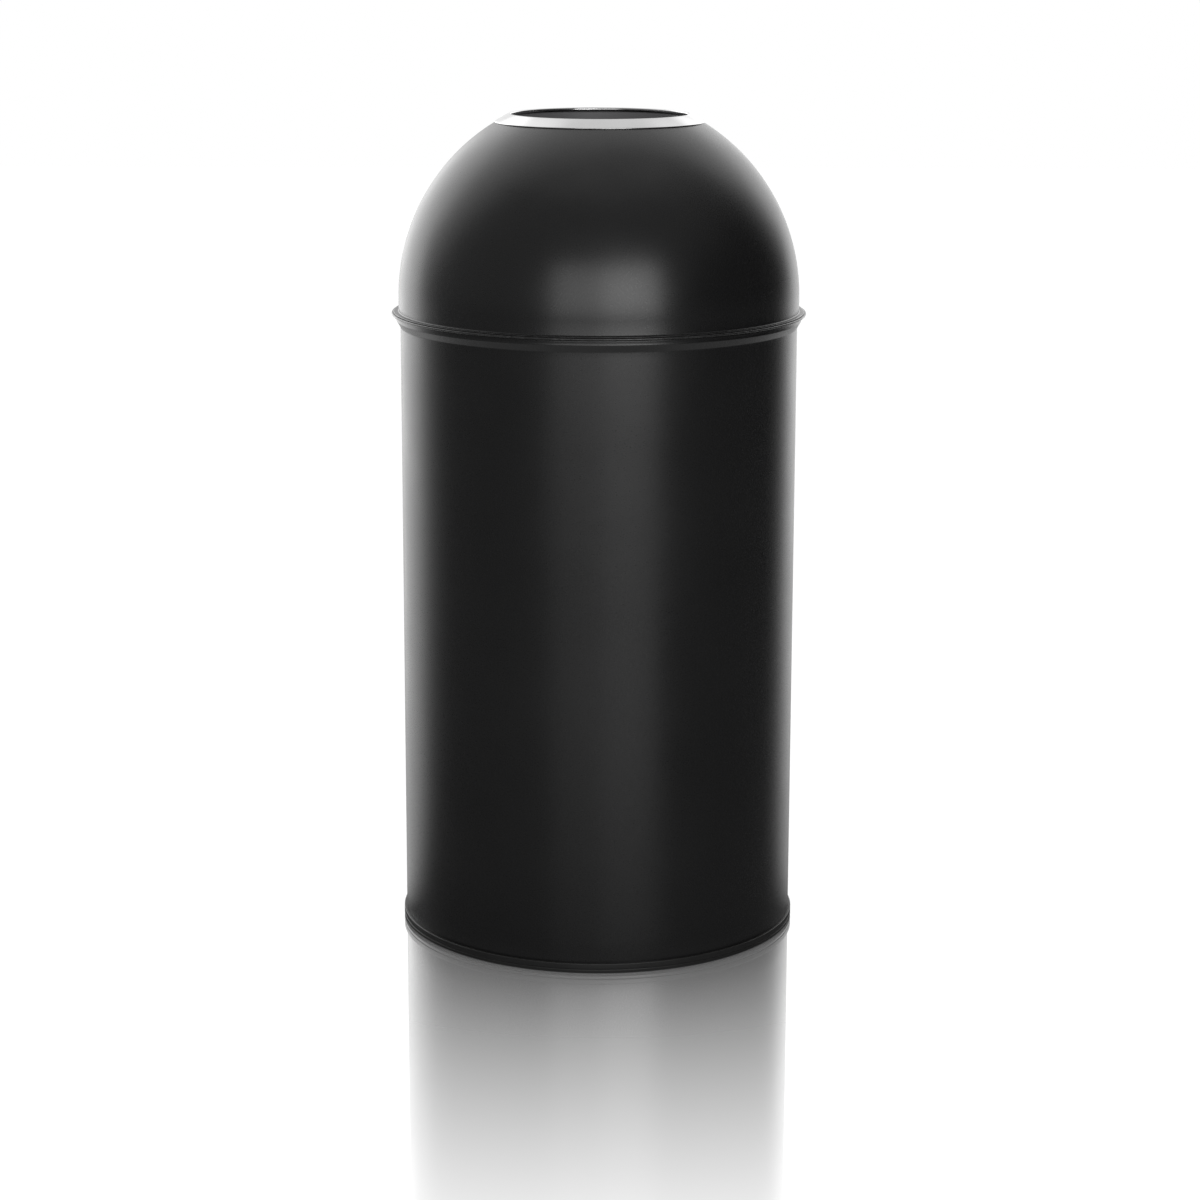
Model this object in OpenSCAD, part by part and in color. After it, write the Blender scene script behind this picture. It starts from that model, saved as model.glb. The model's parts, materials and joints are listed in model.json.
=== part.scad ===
// Dome top waste receptacle: a steel body on a ridged base ring, a lift-off dome
// lid with a bright ring round its open top, and a galvanised liner with a bail.
// Millimetres, +Z up. The origin is on the floor, under the centre of the base.
// The long seams are at the back (+Y) and the bail folds down towards +Y.

/* [Body] */
// Outer diameter of the body's sheet
body_d = 381; // [360:1:420]
// Height of the straight wall above the floor
wall_top = 590; // [480:1:680]
// Thickness of the body's and the lid's sheet
sheet_t = 0.9; // [0.7:0.05:1.1]
// How far the neck flares out past the wall
flare_out = 3.9; // [3:0.1:5]
// Height of the flared neck
flare_h = 6.7; // [5:0.1:12]
// Height of the straight collar between the flare and the bead's centre
neck_strip_h = 3.4; // [2:0.1:6]
// Outer radius of the rolled bead on top of the neck
rim_bead_r = 2.4; // [2.2:0.1:2.6]
// Width of the strap behind the long seam
strap_w = 25; // [15:1:40]
// Width and depth of the seam's line on the outside
seam_line = 0.5; // [0.3:0.05:0.6]

/* [Base] */
// Height of the base ring
base_ring_h = 10; // [9:0.5:16]
// How far the ridges of the base ring stand out past the wall
ridge_out = 2.6; // [2.2:0.1:4]
// Height of the lower ridge
lower_ridge_h = 3; // [2:0.1:4]
// Height of the groove between the ridges
ridge_groove_h = 0.5; // [0.3:0.1:1]
// Radius of the ridges' outer edges
ridge_edge_r = 0.6; // [0.3:0.1:0.9]
// Thickness of the base ring under the shell
ring_floor_t = 2.5; // [2:0.1:4]
// Width of the flat face that meets the floor
ring_foot_w = 12; // [8:0.5:20]
// Height of the pan's top face above the floor
pan_top = 12; // [12:0.5:25]
// Thickness of the pan's sheet
pan_t = 1; // [0.8:0.1:1.5]
// Radius of the raised ring pressed into the pan
pan_rib_r = 118; // [60:1:140]
// Width of the raised ring pressed into the pan
pan_rib_w = 16; // [10:1:30]
// Height of the raised ring pressed into the pan
pan_rib_h = 3; // [2:0.5:6]

/* [Lid] */
// How far the dome stands out past the body's wall
lid_overhang = 1.6; // [1:0.1:2]
// Straight height of the dome's foot above its bend
foot_h = 12.6; // [8:0.1:40]
// Inner radius of the bend between the dome and its flange
bend_r = 1.2; // [0.8:0.1:3]
// How far the dome's flange stops short of the lip under it
flange_step = 1.9; // [1:0.1:3]
// Width of the lip's folded-back leg
lip_leg = 1; // [0.5:0.1:1.5]
// Gap inside the lip's fold
fold_gap = 0.3; // [0.2:0.05:0.8]
// How deep the skirt reaches into the body, below the rim
skirt_depth = 27; // [15:1:50]
// Inner radius of the bend between the skirt and its flange
skirt_bend_r = 1.2; // [0.8:0.1:2]

/* [Opening] */
// Inner diameter of the bright ring
opening_d = 168; // [140:1:200]
// Width of the bright ring on plan
trim_w = 15.5; // [14:0.5:24]
// Thickness of the bright ring's sheet
trim_t = 0.9; // [0.7:0.1:1.2]
// Depth of the bright ring's turned-down lip
trim_lip_h = 4.5; // [3.5:0.5:8]
// Depth of the dark collar below the ring's outer edge
collar_drop = 21; // [12:1:40]
// Outer radius of the roll at the collar's lower edge
collar_roll_r = 1.9; // [1.6:0.1:2.5]
// Number of studs
stud_count = 4; // [3:1:8]
// Diameter of the studs
stud_d = 3; // [2.5:0.5:4]
// Length of the studs
stud_l = 9; // [8:0.5:14]

/* [Liner] */
// Radial gap between the liner's wall and the body's sheet
liner_gap = 23.6; // [20:0.1:40]
// Height of the liner
liner_h = 557.7; // [420:1:565]
// Thickness of the liner's sheet
liner_t = 0.7; // [0.5:0.05:0.9]
// Outer radius of the liner's rolled rim
liner_bead_r = 2.5; // [2.2:0.1:3]
// Height of the liner's bottom above its lower edge
chime_h = 8; // [5:0.5:15]
// Radius of the stiffening swages
swage_r = 4; // [3:0.25:6]
// Height of the lower swage above the liner's lower edge
swage_low = 140; // [60:1:200]
// Height of the upper swage above the liner's lower edge
swage_high = 400; // [250:1:410]
// Width of the liner's lock seam
lock_w = 8; // [5:0.5:12]
// How far the lock seam stands out
lock_t = 1.5; // [1:0.1:2.5]

/* [Bail] */
// Diameter of the bail's wire
bail_wire_d = 5; // [4:0.25:6]
// Depth of the bail's pivot below the liner's top
pivot_drop = 18; // [16:1:30]
// Straight length of each leg above its pivot
leg_h = 20; // [14:1:24]
// Half length of the straight run that carries the grip
run_half = 60; // [45:1:80]
// Radius of the bends beside the ears
leg_bend_r = 6; // [5.5:0.5:8]
// Width of an ear's plate
ear_w = 36; // [34:1:50]
// Height of an ear's plate
ear_h = 22; // [20:1:32]
// Thickness of an ear's plate
ear_t = 1.6; // [1.2:0.1:2.5]
// Outer radius of an ear's boss
boss_r = 6; // [5:0.25:7]
// How far an ear's boss stands out past its plate
boss_l = 5; // [4:0.5:7]
// Diameter of the ear's rivets
rivet_d = 3.2; // [3:0.1:5]
// Distance between the two rivets of an ear
rivet_span = 25; // [22:0.5:27]
// Length of the grip
grip_l = 110; // [70:1:114]
// Diameter of the grip
grip_d = 16; // [13:0.5:20]
// How far the grip's end collars stand out
grip_collar = 1; // [0.5:0.1:2]

/* [Clearances] */
// Gap between pieces of different bodies that rest on each other
seat_gap = 0.3; // [0.2:0.05:0.5]
// Gap between nested pieces of one body
nest_gap = 0.1; // [0.05:0.01:0.15]
// Radial clearance of what turns on the bail's wire
run_gap = 0.08; // [0.03:0.01:0.1]
// Radial gap between the skirt and the body's wall
skirt_gap = 1.3; // [0.8:0.1:3]
// Radial gap between the lid's lip and the body's neck
lip_gap = 2.4; // [0.5:0.1:3]

/* [Hidden] */

big_fn = 180;
small_fn = 40;
overlap = 0.5; // how far joined shapes of one piece run into each other
far = 1000; // longer than the whole object

powder_black = "#1b1b1d";
base_black = "#141414";
bright_chrome = "#d9dadb";
zinc = "#a9b0b5";
raw_wire = "#8b8f92";
grip_black = "#202022";

// body
body_r = body_d / 2;
body_in_r = body_r - sheet_t;
neck_r = body_r + flare_out;
flare_top = wall_top + flare_h;
rim_bead_rc = neck_r - rim_bead_r;
rim_bead_z = flare_top + neck_strip_h;
rim_wire_r = rim_bead_r - sheet_t - nest_gap;
rim_top = rim_bead_z + rim_bead_r;
curl_gap = 1.1; // where the end of a rolled edge stops short of the sheet

// base
shell_foot = ring_floor_t + nest_gap;
channel_out_r = body_r + nest_gap;
pan_r = body_in_r - nest_gap;
channel_in_r = pan_r - pan_t - nest_gap;
ring_out_r = body_r + ridge_out;
ring_wall_r = channel_out_r + 1.6; // wall behind the groove
ring_inner_wall_t = 1.8;
ring_inner_wall_h = pan_top - pan_t - 2;
lower_ridge_z = 1.4; // its underside clears the floor
upper_ridge_z = lower_ridge_z + lower_ridge_h + ridge_groove_h;

// lid: the skirt's flange rests on the rim, and the dome's flange on the skirt's
lid_r = body_r + lid_overhang;
lid_in_r = lid_r - sheet_t;
bend_rc = lid_r + bend_r;
skirt_flange_low = rim_top + seat_gap;
skirt_flange_top = skirt_flange_low + sheet_t;
flange_low = skirt_flange_top + nest_gap;
flange_top = flange_low + sheet_t;
bend_z = flange_top + bend_r;
dome_z = bend_z + foot_h;
lip_r = sheet_t + fold_gap / 2;
lip_rc = neck_r + lip_gap + lip_leg;
lip_z = skirt_flange_top - lip_r;
flange_r = lip_rc + lip_r - flange_step;
skirt_r = body_in_r - skirt_gap;
skirt_bend_rc = skirt_r + skirt_bend_r;
skirt_bend_z = skirt_flange_low - skirt_bend_r;
skirt_low = rim_top - skirt_depth;
hem_in = 1.5; // how far the skirt's lower edge draws in
hem_h = 4;

// opening
opening_r = opening_d / 2;
trim_in_s = lid_r + nest_gap / 2; // sphere of the ring's underside
trim_out_s = trim_in_s + trim_t;
trim_out_r = opening_r + trim_w;
trim_lip_out_r = opening_r + trim_t;
trim_top = dome_z + sqrt(trim_out_s * trim_out_s - opening_r * opening_r);
trim_edge_z = dome_z + sqrt(trim_out_s * trim_out_s - trim_out_r * trim_out_r);
collar_in_r = trim_lip_out_r + nest_gap;
collar_out_r = collar_in_r + sheet_t;
hole_gap = 0.5; // between the collar and the edge of the dome's hole
hole_r = collar_out_r + hole_gap;
collar_out_s = lid_in_r - nest_gap / 2;
collar_in_s = collar_out_s - sheet_t;
flange_inset = 2; // the collar's flange ends this far inside the ring's edge
collar_low = trim_edge_z - collar_drop;
stud_r = stud_d / 2;
stud_ring_r = (hole_r + trim_out_r) / 2; // on the middle of the covered sheet
stud_tilt = asin(stud_ring_r / lid_r);
stud_hole_gap = 0.3;
stud_hole_r = stud_r + stud_hole_gap;
stud_top = trim_in_s - nest_gap / 10;
washer_r = stud_r + 2.2;
washer_t = 0.6;
washer_top = collar_in_s - 0.12; // a flat washer on the hollow side of the dome
nut_r = stud_d * 1.06; // across the corners
nut_h = stud_d * 0.8;

// liner
liner_r = body_in_r - liner_gap;
liner_in_r = liner_r - liner_t;
liner_low = pan_top + seat_gap;
liner_top = liner_low + liner_h;
liner_bead_z = liner_top - liner_bead_r;
liner_bead_rc = liner_r - liner_t + liner_bead_r;
liner_wire_r = liner_bead_r - liner_t - nest_gap;
bottom_z = liner_low + chime_h;
bottom_r = liner_in_r - nest_gap;
bottom_lip_gap = 0.6;

// bail
wire_r = bail_wire_d / 2;
pivot_z = liner_top - pivot_drop;
plate_in_r = liner_r + nest_gap;
plate_out_r = plate_in_r + ear_t;
boss_end = plate_out_r + boss_l;
pin_gap = 0.4; // the wire's end stops this far short of the plate
pin_end = plate_out_r + pin_gap;
elbow_gap = 0.5; // between an ear's boss and the bail's elbow
leg_x = boss_end + elbow_gap + leg_bend_r;
arc_r = leg_x - run_half;
bail_h = leg_h + arc_r;
rivet_r = rivet_d / 2;
rivet_turn = asin(rivet_span / 2 / liner_r);
rivet_head_r = rivet_d;
rivet_head_h = rivet_d * 0.35;
grip_r = grip_d / 2;
grip_groove_n = 9;
grip_groove_r = 1.2;

// The bail lies on the liner's rim: the largest tilt at which its wire, sampled
// along one side, still passes over the rim's bead with the seat gap.
rest_need = liner_bead_r + wire_r + seat_gap;
function bail_pts() = concat(
    [for (s = [0 : 2 : leg_h]) [leg_x, s]],
    [for (a = [0 : 2 : 90]) [run_half + arc_r * cos(a), leg_h + arc_r * sin(a)]]
);
function rim_off(p, tilt) = norm([p[0], p[1] * sin(tilt)]) - liner_bead_rc;
function wire_over(p, tilt) = pivot_z + p[1] * cos(tilt) - liner_bead_z;
function clears(p, tilt) =
    abs(rim_off(p, tilt)) >= rest_need
    || wire_over(p, tilt) >= sqrt(pow(rest_need, 2) - pow(rim_off(p, tilt), 2));
function bail_clear(tilt) = len([for (p = bail_pts()) if (!clears(p, tilt)) 1]) == 0;
tilts_tried = [30 : 0.25 : 88];
bail_tilt = max([for (t = tilts_tried) if (bail_clear(t)) t]);

// shared shapes

module revolve() {
    rotate_extrude($fn = big_fn) children();
}

module rect(r0, z0, r1, z1) {
    translate([r0, z0]) square([r1 - r0, z1 - z0]);
}

// section of a rolled edge round the centre (rc, zc)
module roll(rc, zc, r_out, t) {
    translate([rc, zc]) difference() {
        circle(r = r_out, $fn = small_fn);
        circle(r = r_out - t, $fn = small_fn);
    }
}

module ring_wire(rc, zc, r) {
    rotate_extrude($fn = big_fn) translate([rc, zc]) circle(r = r, $fn = small_fn);
}

// section of a part of a hollow sphere round (0, zc), between two plan radii
module sphere_band(zc, s_out, s_in, r0, r1) {
    intersection() {
        translate([0, zc]) difference() {
            circle(r = s_out, $fn = big_fn);
            circle(r = s_in, $fn = big_fn);
        }
        rect(r0, zc, r1, zc + s_out + 1);
    }
}

// places children round the opening, on the dome's own normals
module round_opening() {
    for (i = [0 : stud_count - 1])
        translate([0, 0, dome_z])
            rotate([0, 0, (i + 0.5) * 360 / stud_count])
                rotate([0, stud_tilt, 0])
                    children();
}

// a part of a tube, cut to a block that faces +X
module curved_plate(r_in, r_out, w, z0, z1) {
    intersection() {
        difference() {
            translate([0, 0, z0]) cylinder(r = r_out, h = z1 - z0, $fn = big_fn);
            translate([0, 0, z0 - 1]) cylinder(r = r_in, h = z1 - z0 + 2, $fn = big_fn);
        }
        translate([0, -w / 2, z0 - 1]) cube([r_out + 1, w, z1 - z0 + 2]);
    }
}

// pieces of the body

module body_shell() {
    color(powder_black) difference() {
        revolve() {
            rect(body_in_r, shell_foot, body_r, wall_top);
            polygon([
                [body_in_r, wall_top], [body_r, wall_top],
                [neck_r, flare_top], [neck_r, rim_bead_z],
                [neck_r - sheet_t, rim_bead_z], [neck_r - sheet_t, flare_top]
            ]);
            difference() {
                roll(rim_bead_rc, rim_bead_z, rim_bead_r, sheet_t);
                rect(rim_bead_rc + curl_gap / 3, rim_bead_z - rim_bead_r - 1,
                     neck_r + 1, rim_bead_z);
            }
        }
        // line of the long seam
        translate([-seam_line / 2, body_r - seam_line / 2, -1])
            cube([seam_line, seam_line, wall_top + 1 - overlap]);
    }
}

module seam_strap() {
    color(powder_black)
        rotate([0, 0, 90])
            curved_plate(body_in_r - nest_gap - sheet_t, body_in_r - nest_gap, strap_w,
                         pan_top + 4, skirt_low - 8);
}

module body_rim_wire() {
    color(raw_wire) ring_wire(rim_bead_rc, rim_bead_z, rim_wire_r);
}

module base_pan() {
    color(powder_black) revolve() {
        rect(0, pan_top - pan_t, pan_rib_r, pan_top);
        rect(pan_rib_r - pan_t, pan_top - pan_t, pan_rib_r, pan_top + pan_rib_h);
        rect(pan_rib_r - pan_t, pan_top + pan_rib_h - pan_t,
             pan_rib_r + pan_rib_w, pan_top + pan_rib_h);
        rect(pan_rib_r + pan_rib_w - pan_t, pan_top - pan_t,
             pan_rib_r + pan_rib_w, pan_top + pan_rib_h);
        rect(pan_rib_r + pan_rib_w - pan_t, pan_top - pan_t, pan_r, pan_top);
        rect(pan_r - pan_t, shell_foot, pan_r, pan_top);
    }
}

// section of an upright ridge with rounded outer edges
module ridge(z0, z1) {
    rect(channel_out_r, z0, ring_out_r - ridge_edge_r, z1);
    rect(channel_out_r, z0 + ridge_edge_r, ring_out_r, z1 - ridge_edge_r);
    for (z = [z0 + ridge_edge_r, z1 - ridge_edge_r])
        translate([ring_out_r - ridge_edge_r, z]) circle(r = ridge_edge_r, $fn = small_fn);
}

module base_ring() {
    color(base_black) revolve() {
        rect(body_r - ring_foot_w, 0, body_r, ring_floor_t);
        rect(channel_in_r - ring_inner_wall_t, 0, channel_in_r, ring_inner_wall_h);
        rect(body_r - overlap, lower_ridge_z, ring_wall_r, ring_floor_t);
        rect(channel_out_r, lower_ridge_z, ring_wall_r, base_ring_h);
        ridge(lower_ridge_z, lower_ridge_z + lower_ridge_h);
        ridge(upper_ridge_z, base_ring_h);
    }
}

// pieces of the lid

module dome_shell() {
    color(powder_black) difference() {
        revolve() {
            sphere_band(dome_z, lid_r, lid_in_r, hole_r, lid_r + 1);
            rect(lid_in_r, bend_z, lid_r, dome_z);
            intersection() {
                roll(bend_rc, bend_z, bend_r + sheet_t, sheet_t);
                rect(0, 0, bend_rc, bend_z);
            }
            rect(bend_rc, flange_low, flange_r, flange_top);
        }
        round_opening() cylinder(r = stud_hole_r, h = far, $fn = small_fn);
    }
}

// the skirt drops into the body's mouth; its flange carries the dome and ends in the lip
module locating_skirt() {
    color(powder_black) revolve() {
        intersection() {
            roll(lip_rc, lip_z, lip_r, sheet_t);
            rect(lip_rc, 0, far, far);
        }
        rect(lip_rc - lip_leg, lip_z - lip_r, lip_rc, lip_z - lip_r + sheet_t);
        rect(skirt_bend_rc, skirt_flange_low, lip_rc, skirt_flange_top);
        intersection() {
            roll(skirt_bend_rc, skirt_bend_z, skirt_bend_r + sheet_t, sheet_t);
            rect(0, skirt_bend_z, skirt_bend_rc, far);
        }
        rect(skirt_r - sheet_t, skirt_low + hem_h, skirt_r, skirt_bend_z);
        polygon([
            [skirt_r - sheet_t - hem_in, skirt_low], [skirt_r - hem_in, skirt_low],
            [skirt_r, skirt_low + hem_h], [skirt_r - sheet_t, skirt_low + hem_h]
        ]);
    }
}

// pieces of the opening

module trim_ring() {
    color(bright_chrome) revolve() {
        sphere_band(dome_z, trim_out_s, trim_in_s, opening_r, trim_out_r);
        intersection() {
            rect(opening_r, trim_top - trim_lip_h, trim_lip_out_r, trim_top);
            translate([0, dome_z]) circle(r = trim_out_s, $fn = big_fn);
        }
    }
}

module trim_studs() {
    color(raw_wire) round_opening()
        translate([0, 0, stud_top - stud_l]) cylinder(r = stud_r, h = stud_l, $fn = small_fn);
}

module opening_collar() {
    color(powder_black) difference() {
        revolve() {
            sphere_band(dome_z, collar_out_s, collar_in_s, collar_in_r, trim_out_r - flange_inset);
            intersection() {
                rect(collar_in_r, collar_low, collar_out_r, trim_top);
                translate([0, dome_z]) circle(r = collar_out_s, $fn = big_fn);
            }
            difference() {
                roll(collar_in_r + collar_roll_r, collar_low, collar_roll_r, sheet_t);
                rect(collar_out_r, collar_low, collar_out_r + curl_gap, collar_low + collar_roll_r + 1);
            }
        }
        round_opening() cylinder(r = stud_hole_r, h = far, $fn = small_fn);
    }
}

module trim_washers() {
    color(zinc) round_opening()
        translate([0, 0, washer_top - washer_t]) difference() {
            cylinder(r = washer_r, h = washer_t, $fn = small_fn);
            translate([0, 0, -1]) cylinder(r = stud_r + nest_gap, h = washer_t + 2, $fn = small_fn);
        }
}

module trim_nuts() {
    color(zinc) round_opening()
        translate([0, 0, washer_top - washer_t - nut_h]) difference() {
            cylinder(r = nut_r, h = nut_h, $fn = 6);
            translate([0, 0, -1]) cylinder(r = stud_r + nest_gap / 2, h = nut_h + 2, $fn = small_fn);
        }
}

// pieces of the liner

// half-round swage that stands out of the liner's wall at height z
module swage(z) {
    intersection() {
        roll(liner_in_r, z, swage_r, liner_t);
        rect(liner_in_r, z - swage_r, far, z + swage_r);
    }
}

module rivet_holes(side) {
    for (k = [-1, 1])
        translate([0, 0, pivot_z])
            rotate([0, 0, k * rivet_turn])
                rotate([0, side * 90, 0])
                    cylinder(r = rivet_r + nest_gap / 2, h = far, $fn = small_fn);
}

module liner_shell() {
    z_low = liner_low + swage_low;
    z_high = liner_low + swage_high;
    inner = swage_r - liner_t;
    color(zinc) difference() {
        union() {
            revolve() {
                rect(liner_in_r, liner_low, liner_r, z_low - inner);
                swage(z_low);
                rect(liner_in_r, z_low + inner, liner_r, z_high - inner);
                swage(z_high);
                rect(liner_in_r, z_high + inner, liner_r, liner_bead_z);
                difference() {
                    roll(liner_bead_rc, liner_bead_z, liner_bead_r, liner_t);
                    rect(liner_in_r - 1, liner_bead_z - liner_bead_r - 1,
                         liner_r + curl_gap, liner_bead_z);
                }
            }
            // lock seam, folded flat against the outside, between the swages and the rim
            for (span = [[liner_low, z_low - swage_r], [z_low + swage_r, z_high - swage_r],
                         [z_high + swage_r, liner_bead_z - liner_bead_r - 1]])
                rotate([0, 0, 90])
                    curved_plate(liner_r - liner_t / 2, liner_r + lock_t, lock_w, span[0], span[1]);
        }
        rivet_holes(1);
        rivet_holes(-1);
    }
}

module liner_bottom() {
    color(zinc) revolve() {
        rect(0, bottom_z, bottom_r, bottom_z + liner_t);
        rect(bottom_r - liner_t, liner_low + bottom_lip_gap, bottom_r, bottom_z + liner_t);
    }
}

module liner_rim_wire() {
    color(raw_wire) ring_wire(liner_bead_rc, liner_bead_z, liner_wire_r);
}

// an ear on the +X side: a plate with a bossed bearing for the bail's end
module ear_body() {
    color(zinc) difference() {
        union() {
            curved_plate(plate_in_r, plate_out_r, ear_w, pivot_z - ear_h / 2, pivot_z + ear_h / 2);
            translate([plate_out_r - overlap, 0, pivot_z])
                rotate([0, 90, 0]) cylinder(r = boss_r, h = boss_l + overlap, $fn = small_fn);
        }
        translate([plate_out_r + nest_gap, 0, pivot_z])
            rotate([0, 90, 0]) cylinder(r = wire_r + run_gap, h = far, $fn = small_fn);
        rivet_holes(1);
    }
}

// a rivet's shank runs through plate and sheet, with a head on each side
module rivet_pair() {
    inside = liner_in_r - nest_gap;
    outside = plate_out_r + nest_gap;
    color(raw_wire) for (k = [-1, 1])
        translate([0, 0, pivot_z]) rotate([0, 0, k * rivet_turn]) rotate([0, 90, 0]) {
            translate([0, 0, inside - rivet_head_h])
                cylinder(r = rivet_r, h = outside + rivet_head_h - inside + rivet_head_h, $fn = small_fn);
            translate([0, 0, inside - rivet_head_h])
                cylinder(r = rivet_head_r, h = rivet_head_h, $fn = small_fn);
            translate([0, 0, outside]) rivet_head();
        }
}

// domed head, flat underneath
module rivet_head() {
    dome = (pow(rivet_head_r, 2) + pow(rivet_head_h, 2)) / (2 * rivet_head_h);
    rotate_extrude($fn = small_fn) intersection() {
        translate([0, rivet_head_h - dome]) circle(r = dome, $fn = big_fn);
        square([rivet_head_r, rivet_head_h]);
    }
}

module left_ear() {
    mirror([1, 0, 0]) ear_body();
}

module right_ear() {
    ear_body();
}

module left_ear_rivets() {
    mirror([1, 0, 0]) rivet_pair();
}

module right_ear_rivets() {
    rivet_pair();
}

// pieces of the bail

// a quarter of a bent round wire in the XY plane, round the origin
module wire_bend(bend, a0) {
    rotate([0, 0, a0]) intersection() {
        rotate_extrude($fn = big_fn) translate([bend, 0]) circle(r = wire_r, $fn = small_fn);
        translate([0, 0, -wire_r - 1]) cube([bend + wire_r + 1, bend + wire_r + 1, bail_wire_d + 2]);
    }
}

// one half of the bail, in its own plane: x across, y up from the pivot
module half_bail() {
    translate([pin_end, 0, 0])
        rotate([0, 90, 0]) cylinder(r = wire_r, h = leg_x - leg_bend_r - pin_end, $fn = small_fn);
    translate([leg_x - leg_bend_r, leg_bend_r, 0]) wire_bend(leg_bend_r, -90);
    translate([leg_x, leg_bend_r, 0])
        rotate([-90, 0, 0]) cylinder(r = wire_r, h = leg_h - leg_bend_r, $fn = small_fn);
    translate([run_half, leg_h, 0]) wire_bend(arc_r, 0);
    translate([0, bail_h, 0])
        rotate([0, 90, 0]) cylinder(r = wire_r, h = run_half, $fn = small_fn);
}

// turns the bail's own plane to its place on the liner's rim
module place_bail() {
    translate([0, 0, pivot_z]) rotate([90 - bail_tilt, 0, 0]) children();
}

module bail_handle() {
    color(raw_wire) place_bail() {
        half_bail();
        mirror([1, 0, 0]) half_bail();
    }
}

module bail_grip() {
    pitch = grip_l / (grip_groove_n + 3);
    color(grip_black) place_bail() translate([0, bail_h, 0]) rotate([0, 90, 0])
        rotate_extrude($fn = 64) difference() {
            union() {
                rect(wire_r + run_gap, -grip_l / 2, grip_r, grip_l / 2);
                for (k = [-1, 1])
                    translate([grip_r - grip_collar, k * (grip_l / 2 - 2 * grip_collar)])
                        circle(r = 2 * grip_collar, $fn = small_fn);
            }
            for (i = [0 : grip_groove_n - 1])
                translate([grip_r + grip_groove_r / 2, (i - (grip_groove_n - 1) / 2) * pitch])
                    circle(r = grip_groove_r, $fn = small_fn);
        }
}

body_shell();
seam_strap();
body_rim_wire();
base_pan();
base_ring();
dome_shell();
locating_skirt();
trim_ring();
trim_studs();
opening_collar();
trim_washers();
trim_nuts();
liner_shell();
liner_bottom();
liner_rim_wire();
left_ear();
right_ear();
left_ear_rivets();
right_ear_rivets();
bail_handle();
bail_grip();
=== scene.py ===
# Dome top waste receptacle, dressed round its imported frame. Metres, +Z up, front towards -Y.
import json
import math

import bmesh
import bpy
from mathutils import Matrix, Vector


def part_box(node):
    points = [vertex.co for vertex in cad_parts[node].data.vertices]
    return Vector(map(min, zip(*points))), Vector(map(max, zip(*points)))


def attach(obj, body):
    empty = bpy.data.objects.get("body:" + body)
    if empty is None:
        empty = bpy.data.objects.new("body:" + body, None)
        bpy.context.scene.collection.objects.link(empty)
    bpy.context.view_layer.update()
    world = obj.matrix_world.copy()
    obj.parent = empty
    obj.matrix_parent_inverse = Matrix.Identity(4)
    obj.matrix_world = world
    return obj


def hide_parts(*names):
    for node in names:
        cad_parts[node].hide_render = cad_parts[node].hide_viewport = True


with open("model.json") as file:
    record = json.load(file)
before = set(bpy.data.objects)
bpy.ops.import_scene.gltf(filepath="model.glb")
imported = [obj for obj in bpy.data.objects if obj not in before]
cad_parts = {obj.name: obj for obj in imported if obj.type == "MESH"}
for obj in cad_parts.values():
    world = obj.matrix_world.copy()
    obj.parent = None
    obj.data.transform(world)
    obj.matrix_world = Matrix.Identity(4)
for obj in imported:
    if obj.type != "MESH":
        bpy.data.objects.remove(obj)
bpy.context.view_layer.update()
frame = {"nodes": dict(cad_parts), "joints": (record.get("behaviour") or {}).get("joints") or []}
mm = 0.001
print("frame loaded")


def newObject(name, data):
    made = bpy.data.objects.new(name, data)
    bpy.context.scene.collection.objects.link(made)
    return made


cameraSet = {
    "distance": 2.9373,  # in front of the object's axis
    "height": 0.9808,
    "pitchDeg": 12.709,  # down from level
    "panDeg": 0.004,
    "rollDeg": 0.134,
    "lens": 92.014,
    "sensor": 36,  # width in millimetres, like the lens
}


def addCamera(wanted):
    data = bpy.data.cameras.new("camera")
    data.sensor_width = wanted["sensor"]
    data.lens = wanted["lens"]
    camera = newObject("camera", data)
    camera.location = (0, -wanted["distance"], wanted["height"])
    turns = (90 - wanted["pitchDeg"], -wanted["rollDeg"], -wanted["panDeg"])
    camera.rotation_euler = [math.radians(a) for a in turns]
    bpy.context.scene.camera = camera


addCamera(cameraSet)
bpy.context.scene.view_settings.view_transform = "Standard"


# Node trees

def setInput(tree, socket, value):
    if isinstance(value, bpy.types.NodeSocket):
        tree.links.new(value, socket)
    else:
        socket.default_value = value


def addNode(tree, kind, inputs=None, **settings):
    made = tree.nodes.new(kind)
    for key, value in settings.items():
        setattr(made, key, value)
    for key, value in (inputs or {}).items():
        setInput(tree, made.inputs[key], value)
    return made


def addMath(tree, operation, first, second=None, clamp=False):
    given = {0: first} if second is None else {0: first, 1: second}
    return addNode(tree, "ShaderNodeMath", given, operation=operation, use_clamp=clamp).outputs[0]


def plus(tree, first, second):
    return addMath(tree, "ADD", first, second)


def minus(tree, first, second):
    return addMath(tree, "SUBTRACT", first, second)


def times(tree, first, second):
    return addMath(tree, "MULTIPLY", first, second)


def inverse(tree, value):
    return addMath(tree, "DIVIDE", 1.0, value)


def addLength(tree, first, second):
    squares = plus(tree, times(tree, first, first), times(tree, second, second))
    return addMath(tree, "SQRT", squares)


def addVector(tree, x=0.0, y=0.0, z=0.0):
    return addNode(tree, "ShaderNodeCombineXYZ", {0: x, 1: y, 2: z}).outputs[0]


def addRange(tree, value, low, high, toLow=0.0, toHigh=1.0, kind="SMOOTHSTEP"):
    wanted = {"Value": value, "From Min": low, "From Max": high, "To Min": toLow, "To Max": toHigh}
    return addNode(tree, "ShaderNodeMapRange", wanted, interpolation_type=kind).outputs["Result"]


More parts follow.
